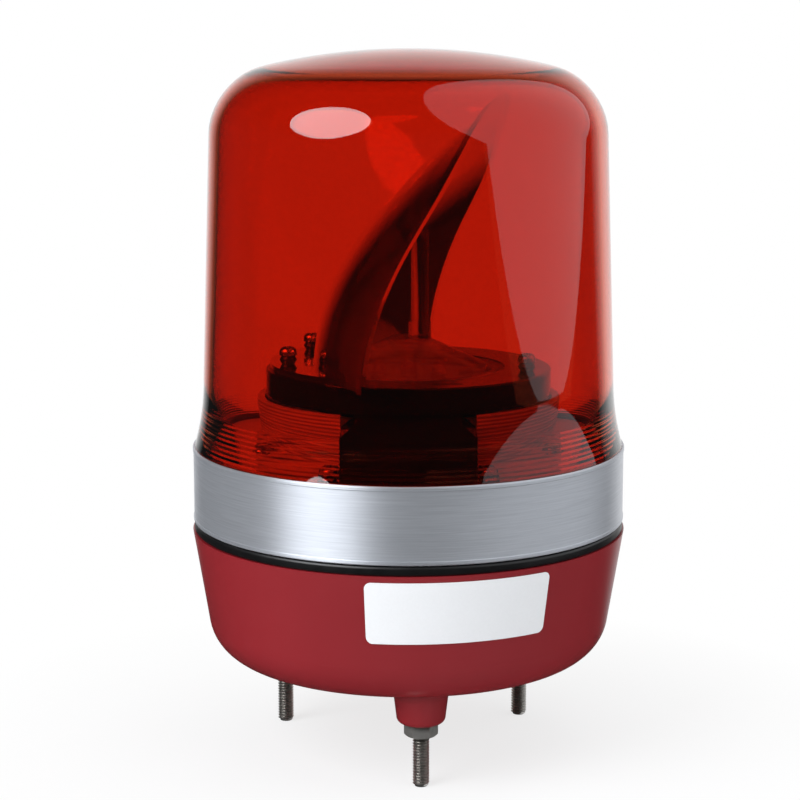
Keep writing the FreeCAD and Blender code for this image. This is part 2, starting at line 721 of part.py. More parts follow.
def dome_shell():
    """Dome with flared foot, ribs inside the foot and a skirt inside the band."""
    wall = S.dome_wall
    flare_top = band_top + S.dome_flare
    spread = dome_shoulder - dome_foot
    flare_radius = (S.dome_flare * S.dome_flare + spread * spread) / spread / 2
    corner = (dome_corner_radius, crown_height(dome_top, S.crown_radius, dome_corner_radius))
    inner_corner_radius = dome_corner_radius - wall
    inner_corner = (inner_corner_radius,
                    crown_height(dome_top - wall, S.crown_radius - wall, inner_corner_radius))
    ribs = int(S.dome_flare.value / S.prism_pitch.value)
    rib_low = flare_top - ribs * S.prism_pitch
    inner_foot = dome_foot - wall
    points = [(0, dome_top), corner, (dome_foot, flare_top), (dome_shoulder, band_top),
              (skirt_outer, band_top), (skirt_outer, skirt_low), (skirt_inner, skirt_low)]
    for index in range(ribs):
        height = rib_low + index * S.prism_pitch
        radius = skirt_inner - (skirt_inner - inner_foot) * (index / ribs)
        points.append((radius, height))
        points.append((radius - S.prism_depth, height + S.prism_pitch * 0.4))
    points.append((inner_foot, flare_top))
    points.append(inner_corner)
    points.append((0, dome_top - wall))
    arcs = {0: (S.crown_radius, False), 2: (flare_radius, True), len(points) - 2: (S.crown_radius - wall, True)}
    shell = turned("dome shell", points, arcs)
    return rounded(shell, [corner + (S.dome_corner,), inner_corner + (S.dome_corner - wall,)])


def globe_lens():
    low = skirt_low + S.lug_low
    lugs = [sector(f"lug {index}", skirt_inner - S.lug_reach, skirt_inner + S.skirt_wall / 2, low,
                   low + S.lug_height, angle - S.lug_span / 2, S.lug_span)
            for index, angle in enumerate(lug_angles)]
    return fuse("globe_lens", [dome_shell()] + lugs)


def trim_band():
    inner = S.band_radius - S.band_wall
    edge = S.band_edge
    return turned("trim_band", [
        (inner, band_low), (S.band_radius - edge, band_low), (S.band_radius, band_low + edge),
        (S.band_radius, band_top - edge), (S.band_radius - edge, band_top), (inner, band_top)])


# ---- chassis and drive ----

def chassis_body():
    groove = S.rib_groove
    points = [(tower_inner, deck_low), (drum_inner, deck_low), (drum_inner, neck_top),
              (flange_radius, neck_top), (flange_radius, flange_top), (drum_radius, flange_top)]
    count = int((drum_top.value - flange_top.value) / S.rib_pitch.value) - 1
    for index in range(count):
        height = flange_top + (index + 1) * S.rib_pitch
        points += [(drum_radius, height), (drum_radius - groove, height),
                   (drum_radius - groove, height + groove), (drum_radius, height + groove)]
    clip_floor = tower_radius - S.clip_depth
    clip_groove_low = clip_low - S.thread_gap
    clip_groove_top = clip_low + S.clip_thickness + S.thread_gap
    ledge = tower_inner - S.ledge_reach
    points += [(drum_radius, drum_top), (drum_inner, drum_top), (drum_inner, deck_top),
               (shoulder_radius, deck_top), (shoulder_radius, shoulder_top), (tower_radius, shoulder_top),
               (tower_radius, clip_groove_low), (clip_floor, clip_groove_low), (clip_floor, clip_groove_top),
               (tower_radius, clip_groove_top), (tower_radius, tower_top), (tower_inner, tower_top),
               (tower_inner, sink_low), (ledge, sink_low), (ledge, sink_low - S.ledge_height),
               (tower_inner, sink_low - S.ledge_height)]
    return turned("chassis body", points)


def chassis():
    half = cover_half_width + S.window_gap
    window = box("window", (-half, half), (-cover_front, -cover_back), (flange_top, drum_top + 1))
    reach = cover_half_width - S.cover_wall - S.window_gap * 2
    shelf = box("motor shelf", (-reach, reach), (-cover_front + S.cover_wall + S.window_gap, -shoulder_radius),
                (deck_low, deck_top))
    body = fuse("chassis with shelf", [cut("chassis with window", chassis_body(), [window]), shelf])
    tools = [cylinder("motor hole", S.motor_radius + 0.6, neck_top - 1, deck_low, motor_x, motor_y),
             cylinder("motor boss hole", S.motor_boss + S.thread_gap, deck_low - 1, deck_top + 1, motor_x, motor_y),
             cylinder("idler pin hole", S.pin_radius + S.ring_gap, deck_low - 1, deck_top + 1, idler_x, idler_y)]
    for side in (-1, 1):
        tools.append(cylinder(f"motor screw hole {side}", S.small_screw + S.thread_gap, deck_low - 1,
                              deck_top + 1, motor_x, motor_y + S.motor_screw_circle * side))
        tools.append(cylinder(f"tab screw hole {side}", S.small_screw + S.thread_gap, neck_top - 1,
                              flange_top + 1, tab_x * side, tab_y))
    for index, angle in enumerate(post_angles):
        tools.append(cylinder(f"flange hole {index}", S.post_screw + S.thread_gap, neck_top - 1,
                              flange_top + 1, *polar(post_circle, angle)))
    return cut("chassis", body, tools)


def bevelled_box(label, x_range, y_range, z_range, bevel):
    """A box whose two upper edges along Y are bevelled."""
    block = box(label + " blank", x_range, y_range, z_range)
    doc.recompute()
    top = block.Shape.BoundBox.ZMax
    edges = [(index, bevel.value, bevel.value) for index, edge in enumerate(block.Shape.Edges, start=1)
             if edge.BoundBox.YLength > 1 and edge.BoundBox.ZMin > top - 0.1]
    bevelled = named(doc.addObject("Part::Chamfer", "bevel"), label)
    bevelled.Base = block
    bevelled.Edges = edges
    return bevelled


def motor_cover():
    """Hood over the gear train, open below and towards the axis, with two screw tabs."""
    half, wall = cover_half_width, S.cover_wall
    hood = bevelled_box("hood", (-half, half), (-cover_front, -cover_back), (flange_top, cover_top),
                        S.cover_chamfer)
    hollow = bevelled_box("hollow", (-half + wall, half - wall), (-cover_front + wall, -cover_back + 1),
                          (flange_top - 1, cover_top - wall), S.cover_chamfer - wall * 0.4)
    tabs = box("tabs", (-half - S.tab_reach, half + S.tab_reach),
               (tab_y - S.tab_reach / 2, tab_y + S.tab_reach / 2), (flange_top, flange_top + S.tab_thickness))
    tools = [hollow]
    for side in (-1, 1):
        tools.append(cylinder(f"tab hole {side}", S.small_screw + S.thread_gap, flange_top - 1,
                              flange_top + S.tab_thickness + 1, tab_x * side, tab_y))
    return cut("motor_cover", fuse("hood with tabs", [hood, tabs]), tools)


def motor_cover_screws():
    seat = flange_top + S.tab_thickness
    return group("motor_cover_screws", [
        screw(f"cover screw {side}", S.small_screw, S.small_head, S.small_head_height, seat,
              neck_top - 2, tab_x * side, tab_y) for side in (-1, 1)])


def chassis_screws():
    pieces = []
    for index, angle in enumerate(post_angles):
        x, y = polar(post_circle, angle)
        pieces.append(screw(f"chassis screw {index}", S.post_screw, S.post_head, S.post_head_height,
                            flange_top, neck_top - S.post_screw_depth, x, y))
    return group("chassis_screws", pieces)


def motor_can():
    edge = S.motor_corner
    bore = S.pin_radius + S.run_gap
    boss_top = deck_low + S.motor_boss_height
    can = turned("motor shell", [
        (0, motor_low), (S.motor_radius, motor_low), (S.motor_radius, deck_low - edge),
        (S.motor_radius - edge, deck_low), (S.motor_boss, deck_low), (S.motor_boss, boss_top),
        (bore, boss_top), (bore, deck_low - 5), (0, deck_low - 5)], x=motor_x, y=motor_y)
    holes = [cylinder(f"motor thread {side}", S.small_screw + S.thread_gap, deck_low - 2.5, deck_low + 1,
                      motor_x, motor_y + S.motor_screw_circle * side) for side in (-1, 1)]
    return cut("motor_can", can, holes)


def motor_end_cap():
    """Plastic cap with two terminal blades."""
    low = motor_low - S.cap_height
    cap = cylinder("cap", S.motor_radius - 1, low, motor_low, motor_x, motor_y)
    blades = [box(f"blade {side}", (motor_x + 4 * side - 1.2, motor_x + 4 * side + 1.2),
                  (motor_y - 0.25, motor_y + 0.25), (low - 3.5, low)) for side in (-1, 1)]
    return fuse("motor_end_cap", [cap] + blades)


def motor_screws():
    return group("motor_screws", [
        screw(f"motor screw {side}", S.small_screw, S.small_head * 0.8, S.small_head_height * 0.6, deck_top,
              deck_low - 2, motor_x, motor_y + S.motor_screw_circle * side) for side in (-1, 1)])


def involute_gear(teeth, module, addendum, dedendum, phase, bore, low, high):
    """Spur gear whose first tooth points along phase; flanks are short chords of the involute."""
    pressure = math.radians(20)
    pitch = module * teeth / 2
    base = pitch * math.cos(pressure)
    tip, foot = pitch + addendum, pitch - dedendum
    half = (math.pi * module / 2 - S.backlash.value) / 2 / pitch
    lean = math.tan(pressure) - pressure

    def flank(radius):
        """Half the tooth's angle at a radius."""
        if radius <= base:
            return half + lean
        reach = math.acos(base / radius)
        return half + lean - (math.tan(reach) - reach)

    start = max(foot, base)
    steps = [foot] if foot < base else []
    steps += [start + (tip - start) * share for share in (0.0, 0.45, 1.0)]
    points = []
    for tooth in range(teeth):
        middle = phase + 2 * math.pi * tooth / teeth
        for side, radii in ((-1, steps), (1, steps[::-1])):
            for radius in radii:
                angle = middle + side * flank(radius)
                points.append(Vector(radius * math.cos(angle), radius * math.sin(angle), low))
    face = Part.Face(Part.makePolygon(points + points[:1]))
    solid = face.extrude(Vector(0, 0, high - low))
    return solid.cut(Part.makeCylinder(bore, high - low + 2, Vector(0, 0, low - 1)))


def ring_gear():
    teeth, module = int(S.ring_teeth.value), S.coarse_module.value
    phase = math.atan2(idler_y.value, idler_x.value)
    return feature("ring_gear", involute_gear(
        teeth, module, S.ring_addendum.value * module, S.ring_dedendum.value * module, phase, hub_radius.value + S.ring_gap.value,
        ring_low.value, ring_top.value))


def idler_gear():
    """Wheel and pinion in one moulding; the pinion gears with the ring, the wheel with the motor."""
    bore = S.pin_radius.value + S.run_gap.value / 2
    towards_axis = math.atan2(-idler_y.value, -idler_x.value)
    small_teeth, module = int(S.idler_teeth.value), S.coarse_module.value
    small = involute_gear(small_teeth, module, 0.9 * module, 0.95 * module,
                          towards_axis + math.pi / small_teeth, bore, ring_low.value, ring_top.value)
    fine = S.fine_module.value
    wheel = involute_gear(int(S.wheel_teeth.value), fine, S.wheel_addendum.value * fine, 1.15 * fine, 0.0, bore,
                          wheel_low.value, wheel_top.value)
    low, high = wheel_low.value - 0.3, ring_top.value + 0.3
    hub = Part.makeCylinder(2.2, high - low, Vector(0, 0, low))
    hub = hub.cut(Part.makeCylinder(bore, high - low + 2, Vector(0, 0, low - 1)))
    gear = feature("idler_gear", small.fuse([wheel, hub]))
    return place(gear, idler_x, idler_y)


def motor_pinion():
    teeth, fine = int(S.pinion_teeth.value), S.fine_module.value
    shape = involute_gear(teeth, fine, 0.9 * fine, 0.9 * fine, math.pi + math.pi / teeth,
                          S.pin_radius.value + S.ring_gap.value, wheel_low.value - 0.2, wheel_top.value + 0.2)
    return place(feature("motor_pinion", shape), motor_x, motor_y)


def motor_shaft():
    return cylinder("motor_shaft", S.pin_radius, deck_low - 4.5, wheel_top + 0.6, motor_x, motor_y)


def idler_pin():
    return cylinder("idler_pin", S.pin_radius, deck_low, cover_top - S.cover_wall - 0.2, idler_x, idler_y)


def idler_clip():
    low = ring_top + 0.45
    return tube("idler_clip", S.pin_radius + S.ring_gap, S.pin_radius * 2.2, low, low + 0.4, idler_x, idler_y)


def thrust_washer():
    return tube("thrust_washer", tower_radius + S.thread_gap, shoulder_radius, shoulder_top, washer_top)


def retaining_ring():
    """Open ring in the groove of the journal; it holds the turntable down."""
    inner = tower_radius - S.clip_depth + S.thread_gap
    return sector("retaining_ring", inner, inner + S.clip_reach, clip_low, clip_low + S.clip_thickness,
                  as_size(100.0), as_size(340.0))


# ---- turntable and what it carries ----

def turntable():
    edge = S.disc_edge
    inner = tower_radius + S.run_gap
    skirt = disc_radius - S.disc_skirt_wall
    step = clip_low - S.run_gap
    disc = turned("disc", [
        (inner, hub_low), (hub_radius, hub_low), (hub_radius, disc_under), (skirt, disc_under),
        (skirt, disc_low_edge), (disc_radius, disc_low_edge), (disc_radius, disc_top - edge),
        (disc_radius - edge, disc_top), (seat_radius, disc_top), (seat_radius, seat_floor),
        (hub_recess, seat_floor), (hub_recess, step), (inner, step)], {6: (edge, True)})
    tools = [cylinder(f"fixing hole {index}", S.small_screw + S.thread_gap, disc_under - 1, disc_top + 1, x, y)
             for index, (x, y) in enumerate(fixing_places())]
    long, wide = S.key_slot_length / 2, S.key_slot_width / 2
    tools.append(box("key slot", (S.key_slot_x - long, S.key_slot_x + long),
                     (S.key_slot_y - wide, S.key_slot_y + wide), (disc_under - 1, disc_top + 1)))
    return cut("turntable", disc, tools)


def fixing_places():
    return [on_rotor(-rear_fixing_back, -S.rear_fixing_side), on_rotor(-rear_fixing_back, S.rear_fixing_side),
            on_rotor(front_fixing_ahead, -S.front_fixing_side)]


def fixing_seats():
    return [disc_top + S.foot_thickness, disc_top + S.foot_thickness, disc_top]


def fixing_grommets():
    pieces = []
    for index, ((x, y), seat) in enumerate(zip(fixing_places(), fixing_seats())):
        high = seat + S.grommet_height
        bulge = S.grommet_height / 2
        pieces.append(turned(f"damping ring {index}", [
            (S.small_screw + S.thread_gap, seat), (S.small_head - 0.6, seat), (S.small_head, seat + bulge),
            (S.small_head - 0.6, high), (S.small_screw + S.thread_gap, high)], x=x, y=y))
    return group("fixing_grommets", pieces)


def fixing_screws():
    pieces = []
    for index, ((x, y), seat) in enumerate(zip(fixing_places(), fixing_seats())):
        pieces.append(screw(f"fixing screw {index} top", S.small_screw, S.small_head, S.fixing_head_height,
                            seat + S.grommet_height, disc_under - 2, x, y))
    return group("fixing_screws", pieces)


def balance_weight():
    start = -S.beam_turn - S.weight_span / 2
    blank = sector("weight blank", weight_inner, weight_outer, disc_under - S.weight_thickness, disc_under,
                   start, S.weight_span)
    x, y = fixing_places()[2]
    hole = cylinder("weight hole", S.small_screw + S.thread_gap, disc_under - S.weight_thickness - 1,
                    disc_under + 1, x, y)
    return cut("balance_weight", blank, [hole])


def parabola_solid(focal, reach):
    """Solid of revolution about X inside a parabola whose focus is the origin, out to a radius."""
    curve = Part.BezierCurve()
    end = Vector(reach * reach / 4 / focal - focal, reach, 0)
    curve.setPoles([Vector(-focal, 0, 0), Vector(-focal, reach / 2, 0), end])
    edge = curve.toShape()
    foot = Vector(end.x, 0, 0)
    face = Part.Face(Part.Wire([edge, Part.makeLine(end, foot), Part.makeLine(foot, Vector(-focal, 0, 0))]))
    return face.revolve(Vector(0, 0, 0), Vector(1, 0, 0), 360)


def rim_prism(shift, half_width):
    """Everything behind the rim's side view, above the disc, moved forward by shift."""
    height = mirror_height.value
    ahead = (S.rim_foot, S.rim_quarter, S.rim_half, S.rim_three, S.rim_tip)
    points = [Vector(size.value + shift, -half_width, height * index / 4) for index, size in enumerate(ahead)]
    points.append(points[-1] + (points[-1] - points[-2]) * 0.5)
    curve = Part.BSplineCurve()
    curve.interpolate(points)
    back = -focal_length.value - 10
    low_back = Vector(back, -half_width, 0)
    high_back = Vector(back, -half_width, points[-1].z)
    wire = Part.Wire([curve.toShape(), Part.makeLine(points[-1], high_back),
                      Part.makeLine(high_back, low_back), Part.makeLine(low_back, points[0])])
    return Part.Face(wire).extrude(Vector(0, 2 * half_width, 0))


def reflector():
    """Scoop cut from a paraboloid, with a lip round its rim and a foot behind it on the disc."""
    focal, wall = focal_length.value, S.mirror_wall.value
    reach = mirror_height.value * 1.25
    inside = parabola_solid(focal, reach)
    outside = parabola_solid(focal + wall, reach)
    wider = parabola_solid(focal + wall + S.lip_reach.value * 0.8, reach)
    half_width = mirror_height.value
    prism = rim_prism(0.0, half_width)
    shell = outside.common(prism).cut(inside)
    lip = wider.common(prism).cut(rim_prism(-S.lip_depth.value, half_width + 1)).cut(inside)
    foot = Part.makeCylinder(foot_radius.value, S.foot_thickness.value)
    ahead = Part.makeBox(200, 200, 20, Vector(S.foot_front.value, -100, -5))
    foot = foot.cut(ahead).cut(inside)
    for side in (-1, 1):
        hole = Part.makeCylinder(S.small_screw.value + S.thread_gap.value, 10,
                                 Vector(-rear_fixing_back.value, S.rear_fixing_side.value * side, -5))
        foot = foot.cut(hole)
    return feature("reflector", shell.fuse([lip, foot]).removeSplitter(), turn=-S.beam_turn, z=disc_top)


def condenser_lens():
    """Clear cover over the lamp opening, with the light rod on top."""
    gap = S.cover_seat_gap
    low = seat_floor + gap / 3
    high = disc_top - gap
    outer = seat_radius - gap
    cone_radius = outer - S.cone_inset
    inner = cone_radius - S.clear_wall
    top = disc_top + S.cone_height
    cone = turned("clear cone", [
        (inner, low), (outer, low), (outer, high), (cone_radius, high), (S.cone_top_radius, top), (0, top),
        (0, top - S.clear_wall), (S.cone_top_radius - S.clear_wall / 2, top - S.clear_wall)])
    x, y = on_rotor(S.rod_offset, 0 * S.rod_offset)
    collar_high = disc_top + S.collar_top
    rod_high = disc_top + S.rod_top
    collar = cylinder("collar", S.collar_radius, top - S.clear_wall * 0.8, collar_high, x, y)
    rod = turned("light rod", [
        (0, collar_high - 1), (S.rod_radius, collar_high - 1), (S.rod_radius, rod_high),
        (0, rod_high + S.rod_radius)], {2: (S.rod_radius, True)}, x=x, y=y)
    return fuse("condenser_lens", [cone, collar, rod])


# ---- lamp and driver ----

def led_heatsink():
    plate = cylinder("sink plate", sink_radius, sink_low, sink_top)
    fin_low = sink_low - S.fin_length
    fins = []
    for index in range(-3, 4):
        middle = S.fin_pitch * index
        fins.append(box(f"fin {index}", (-sink_radius, sink_radius),
                        (middle - S.fin_thickness / 2, middle + S.fin_thickness / 2), (fin_low, sink_low)))
    clip = cylinder("fin limit", tower_inner - S.ledge_reach - 0.5, fin_low - 1, sink_low)
    return fuse("led_heatsink", [plate, common("fins", fuse("fin stack", fins), clip)])


def led_board():
    board = cylinder("lamp board blank", lamp_board_radius, sink_top, lamp_board_top)
    holes = [cylinder(f"lamp board hole {side}", S.small_screw + S.thread_gap, sink_top - 1, lamp_board_top + 1,
                      lamp_screw_reach * side, as_size(0.0)) for side in (-1, 1)]
    return cut("led_board", board, holes)


def led_board_screws():
    return group("led_board_screws", [
        cylinder(f"lamp board screw {side}", S.small_head * 0.8, lamp_board_top,
                 lamp_board_top + S.small_head_height * 0.6, lamp_screw_reach * side, as_size(0.0))
        for side in (-1, 1)])


def led_emitters():
    """Seven light sources, one in the middle and six round it, each with a domed lens."""
    pieces = []
    for index in range(7):
        x, y = (as_size(0), as_size(0)) if index == 6 else polar(S.emitter_circle, as_size(60.0 * index + 30))
        half = S.emitter_width / 2
        high = lamp_board_top + S.emitter_height
        case = box(f"emitter case {index}", (x - half, x + half), (y - half, y + half), (lamp_board_top, high))
        lens = turned(f"emitter lens {index}", [
            (0, high - 0.2), (S.emitter_dome, high - 0.2), (S.emitter_dome * 0.92, high + S.emitter_dome * 0.4),
            (S.emitter_dome * 0.55, high + S.emitter_dome * 0.85), (0, high + S.emitter_dome)], x=x, y=y)
        pieces.append(fuse(f"emitter {index}", [case, lens]))
    return group("led_emitters", pieces)


def driver_board():
    long, wide = S.driver_half_length, S.driver_half_width
    board = box("driver blank", (-long, long), (-wide, wide), (driver_low, driver_top))
    holes = [cylinder(f"driver hole {index}", S.small_screw + S.thread_gap, driver_low - 1, driver_top + 1,
                      S.standoff_x * side, S.standoff_y * end)
             for index, (side, end) in enumerate(((1, 1), (-1, 1), (-1, -1), (1, -1)))]
    return cut("driver_board", board, holes)


def driver_board_screws():
    return group("driver_board_screws", [
        screw(f"driver screw {index}", S.small_screw, S.small_head, S.small_head_height, driver_top,
              driver_low - 5, S.standoff_x * side, S.standoff_y * end)
        for index, (side, end) in enumerate(((1, 1), (-1, 1), (-1, -1), (1, -1)))])


def terminal_block():
    """Four-way screw terminal with a funnel and a screw well for each wire."""
    high = driver_top + 10
    block = box("terminal body", (-10.0, 10.0), (-15.5, -7.5), (driver_top, high))
    tools = []
    for index in range(4):
        x = as_size(-7.5 + 5.0 * index)
        tools.append(box(f"wire funnel {index}", (x - 1.6, x + 1.6), (-16.0, -10.0), (driver_top + 2, driver_top + 5.5)))
        tools.append(cylinder(f"screw well {index}", as_size(1.7), high - 3, high + 1, x, as_size(-11.5)))
    return cut("terminal_block", block, tools)


def capacitors():
    return group("capacitors", [
        cylinder(f"capacitor {index}", as_size(radius), driver_top, driver_top + high, as_size(x), as_size(y))
        for index, (radius, high, x, y) in enumerate(((5.0, 16.0, -13.0, 6.0), (4.0, 12.0, -2.5, 7.0)))])


def inductor():
    """Wound coil on a bobbin."""
    x, y = as_size(11.5), as_size(6.0)
    return turned("inductor", [
        (0, driver_top), (5.5, driver_top), (5.5, driver_top + 1.2), (4.4, driver_top + 1.2),
        (4.4, driver_top + 7), (5.5, driver_top + 7), (5.5, driver_top + 8.2), (0, driver_top + 8.2)], x=x, y=y)


def build():
    parts = [
        base_housing(), base_seal(), cable_grommet(), rating_label(),
        group("fixing_studs", [fixing_screw(index) for index in range(3)]),
        group("fixing_nuts", [fixing_nut(index) for index in range(3)]),
        globe_lens(), trim_band(), chassis(), chassis_screws(), motor_cover(), motor_cover_screws(),
        motor_can(), motor_end_cap(), motor_screws(), motor_shaft(), motor_pinion(), idler_gear(),
        idler_pin(), idler_clip(), thrust_washer(), retaining_ring(), turntable(), ring_gear(), reflector(),
        condenser_lens(), fixing_grommets(), fixing_screws(), balance_weight(), led_heatsink(), led_board(),
        led_emitters(), led_board_screws(), driver_board(), driver_board_screws(), terminal_block(),
        capacitors(), inductor(),
    ]
    doc.recompute()
    for thing in doc.Objects:
        if any(mark in thing.State for mark in ("Invalid", "Error")):
            raise RuntimeError(f"{thing.Label} did not compute: {thing.State}")
    os.makedirs("parts", exist_ok=True)
    for thing in parts:
        shape = thing.Shape
        if shape.isNull() or not shape.isValid() or not shape.Solids:
            raise RuntimeError(f"{thing.Label} has no valid solid")
    for thing in parts:
        thing.Shape.exportStep(f"parts/{thing.Label}.step")
        print(f"{thing.Label}: {len(thing.Shape.Solids)} solids, {thing.Shape.Volume:.1f} mm3")


build()
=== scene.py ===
"""Finishes and fine pieces of a red rotating warning beacon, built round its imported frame."""

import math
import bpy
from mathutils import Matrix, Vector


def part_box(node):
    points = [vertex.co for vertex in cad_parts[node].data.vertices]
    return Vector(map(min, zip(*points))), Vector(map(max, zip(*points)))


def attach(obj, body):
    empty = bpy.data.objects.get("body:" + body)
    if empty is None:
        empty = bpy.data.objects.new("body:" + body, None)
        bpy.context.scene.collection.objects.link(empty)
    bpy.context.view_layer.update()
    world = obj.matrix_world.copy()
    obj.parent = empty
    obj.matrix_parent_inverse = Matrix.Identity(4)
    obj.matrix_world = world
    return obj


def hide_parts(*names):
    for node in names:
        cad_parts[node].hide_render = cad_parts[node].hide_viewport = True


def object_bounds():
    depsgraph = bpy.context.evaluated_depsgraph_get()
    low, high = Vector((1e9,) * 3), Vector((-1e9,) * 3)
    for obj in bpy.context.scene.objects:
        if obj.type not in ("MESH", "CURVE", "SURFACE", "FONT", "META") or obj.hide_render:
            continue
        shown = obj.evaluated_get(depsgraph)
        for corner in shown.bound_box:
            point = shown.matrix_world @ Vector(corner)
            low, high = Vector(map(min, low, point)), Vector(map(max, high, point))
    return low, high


bl_info = {
    "name": "Rotating Beacon",
    "version": (1, 0, 0),
    "blender": (4, 5, 0),
    "location": "3D Viewport > Sidebar > Beacon",
    "description": "Dome, band, threads, label, finishes and a small studio for a rotating beacon",
    "category": "Object",
}

import bmesh
import bpy
from bpy.props import FloatProperty, FloatVectorProperty, IntProperty, PointerProperty
from mathutils import Matrix, Vector

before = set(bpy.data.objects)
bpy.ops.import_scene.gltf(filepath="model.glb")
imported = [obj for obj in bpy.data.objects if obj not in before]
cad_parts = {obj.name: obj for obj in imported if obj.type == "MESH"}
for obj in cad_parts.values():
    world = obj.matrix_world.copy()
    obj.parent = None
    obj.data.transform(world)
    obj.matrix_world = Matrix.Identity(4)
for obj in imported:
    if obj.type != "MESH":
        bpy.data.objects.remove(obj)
CAD_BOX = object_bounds()

MM = 0.001

# the studio's white sheet stands behind the object, a little to its right, in a dark room
SHEET_WAY = (0.14, 1, 0)
SHEET_EDGE = (0.7, 0.9)
ROOM_LIGHT = 0.03


# ---- small helpers ----

def linear(code, alpha=None):
    """An sRGB hex value as linear red, green and blue, with alpha if it is given."""
    parts = [int(code[place:place + 2], 16) / 255 for place in (1, 3, 5)]
    parts = [part / 12.92 if part <= 0.04045 else ((part + 0.055) / 1.055) ** 2.4 for part in parts]
    return tuple(parts) if alpha is None else tuple(parts) + (alpha,)


def add_node(tree, kind, inputs=None, **settings):
    """Adds a node with its settings; an input is a plain value or the socket that feeds it."""
    made = tree.nodes.new(kind)
    for name, value in settings.items():
        setattr(made, name, value)
    for name, value in (inputs or {}).items():
        if isinstance(value, bpy.types.NodeSocket):
            tree.links.new(value, made.inputs[name])
        else:
            made.inputs[name].default_value = value
    return made


def new_finish(name):
    """An empty material and its node tree."""
    material = bpy.data.materials.new(name)
    material.use_nodes = True
    material.node_tree.nodes.clear()
    return material, material.node_tree


def finish_surface(tree, shader):
    add_node(tree, "ShaderNodeOutputMaterial", {"Surface": shader.outputs[0]})


def outline(mesh, points, rounds, closed):
    """A wire of radii and heights in the XZ plane; rounds gives some corners a rounding width."""
    corners = [mesh.verts.new((radius, 0, height)) for radius, height in points]
    for start, end in zip(corners, corners[1:]):
        mesh.edges.new((start, end))
    if closed:
        mesh.edges.new((corners[-1], corners[0]))
    for place, width in rounds.items():
        bmesh.ops.bevel(mesh, geom=[corners[place]], offset=width, offset_type="OFFSET", affect="VERTICES",
                        segments=10, profile=0.5, material=-1)


def turn_round(mesh, steps, start=0.0, sweep=math.tau):
    """Spins everything in the mesh about +Z and closes it."""
    if start:
        bmesh.ops.rotate(mesh, verts=mesh.verts[:], cent=(0, 0, 0), matrix=Matrix.Rotation(start, 3, "Z"))
    bmesh.ops.spin(mesh, geom=mesh.verts[:] + mesh.edges[:] + mesh.faces[:], cent=(0, 0, 0), axis=(0, 0, 1),
                   dvec=(0, 0, 0), angle=sweep, steps=steps, use_merge=sweep == math.tau,
                   use_normal_flip=False, use_duplicate=False)
    bmesh.ops.remove_doubles(mesh, verts=mesh.verts[:], dist=1e-6)
    bmesh.ops.dissolve_degenerate(mesh, dist=1e-7, edges=mesh.edges[:])
    bmesh.ops.recalc_face_normals(mesh, faces=mesh.faces[:])


def append_mesh(target, source, x=0.0, y=0.0, z=0.0):
    """Moves one bmesh to a place and adds it to another."""
    bmesh.ops.translate(source, verts=source.verts[:], vec=(x, y, z))
    carrier = bpy.data.meshes.new("carrier")
    source.to_mesh(carrier)
    source.free()
    target.from_mesh(carrier)
    bpy.data.meshes.remove(carrier)


def place_piece(name, mesh, body, material, nodes=(), sharp=30.0):
    """Turns a bmesh into a piece that rides on a body and stands for the given nodes."""
    data = bpy.data.meshes.new(name)
    mesh.to_mesh(data)
    mesh.free()
    data.polygons.foreach_set("use_smooth", [True] * len(data.polygons))
    data.set_sharp_from_angle(angle=math.radians(sharp))
    data.materials.append(material)
    piece = bpy.data.objects.new(name, data)
    bpy.context.collection.objects.link(piece)
    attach(piece, body)
    if nodes:
        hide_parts(*nodes)
    return piece


# ---- sizes and colours that a user would change ----

class BeaconSizes(bpy.types.PropertyGroup):
    """Sizes of the fine pieces."""

    dome_wall: FloatProperty(name="Dome wall", description="Wall of the clear dome", default=2.5 * MM,
                             unit="LENGTH", subtype="DISTANCE")
    flare_height: FloatProperty(name="Flare height", description="Height of the dome's flared foot",
                                default=17.0 * MM, unit="LENGTH", subtype="DISTANCE")
    prism_height: FloatProperty(name="Prism height", description="Height of the zone of rings in the foot",
                                default=9.6 * MM, unit="LENGTH", subtype="DISTANCE")
    prism_pitch: FloatProperty(name="Prism pitch", description="Pitch of the rings inside the flared foot",
                               default=1.2 * MM, unit="LENGTH", subtype="DISTANCE")
    prism_depth: FloatProperty(name="Prism depth", description="Depth of a ring inside the flared foot",
                               default=0.3 * MM, unit="LENGTH", subtype="DISTANCE")
    thread_pitch: FloatProperty(name="Thread pitch", description="Pitch of the M4 fixing screws",
                                default=0.7 * MM, unit="LENGTH", subtype="DISTANCE")
    label_thickness: FloatProperty(name="Label thickness", description="Thickness of the label film",
                                   default=0.15 * MM, unit="LENGTH", subtype="DISTANCE")
    turn_steps: IntProperty(name="Turning steps", description="Facets round the dome and the band",
                            default=192, min=48, max=360)


class BeaconColours(bpy.types.PropertyGroup):
    """Colours of the main finishes."""

    dome: FloatVectorProperty(name="Dome", description="Clear red of the dome", subtype="COLOR",
                              default=linear("#D95534"), min=0, max=1)
    housing: FloatVectorProperty(name="Housing", description="Opaque red of the base", subtype="COLOR",
                                 default=linear("#8B1D24"), min=0, max=1)
    label: FloatVectorProperty(name="Label", description="Bare label film", subtype="COLOR",
                               default=linear("#ECEDEE"), min=0, max=1)


# ---- finishes ----

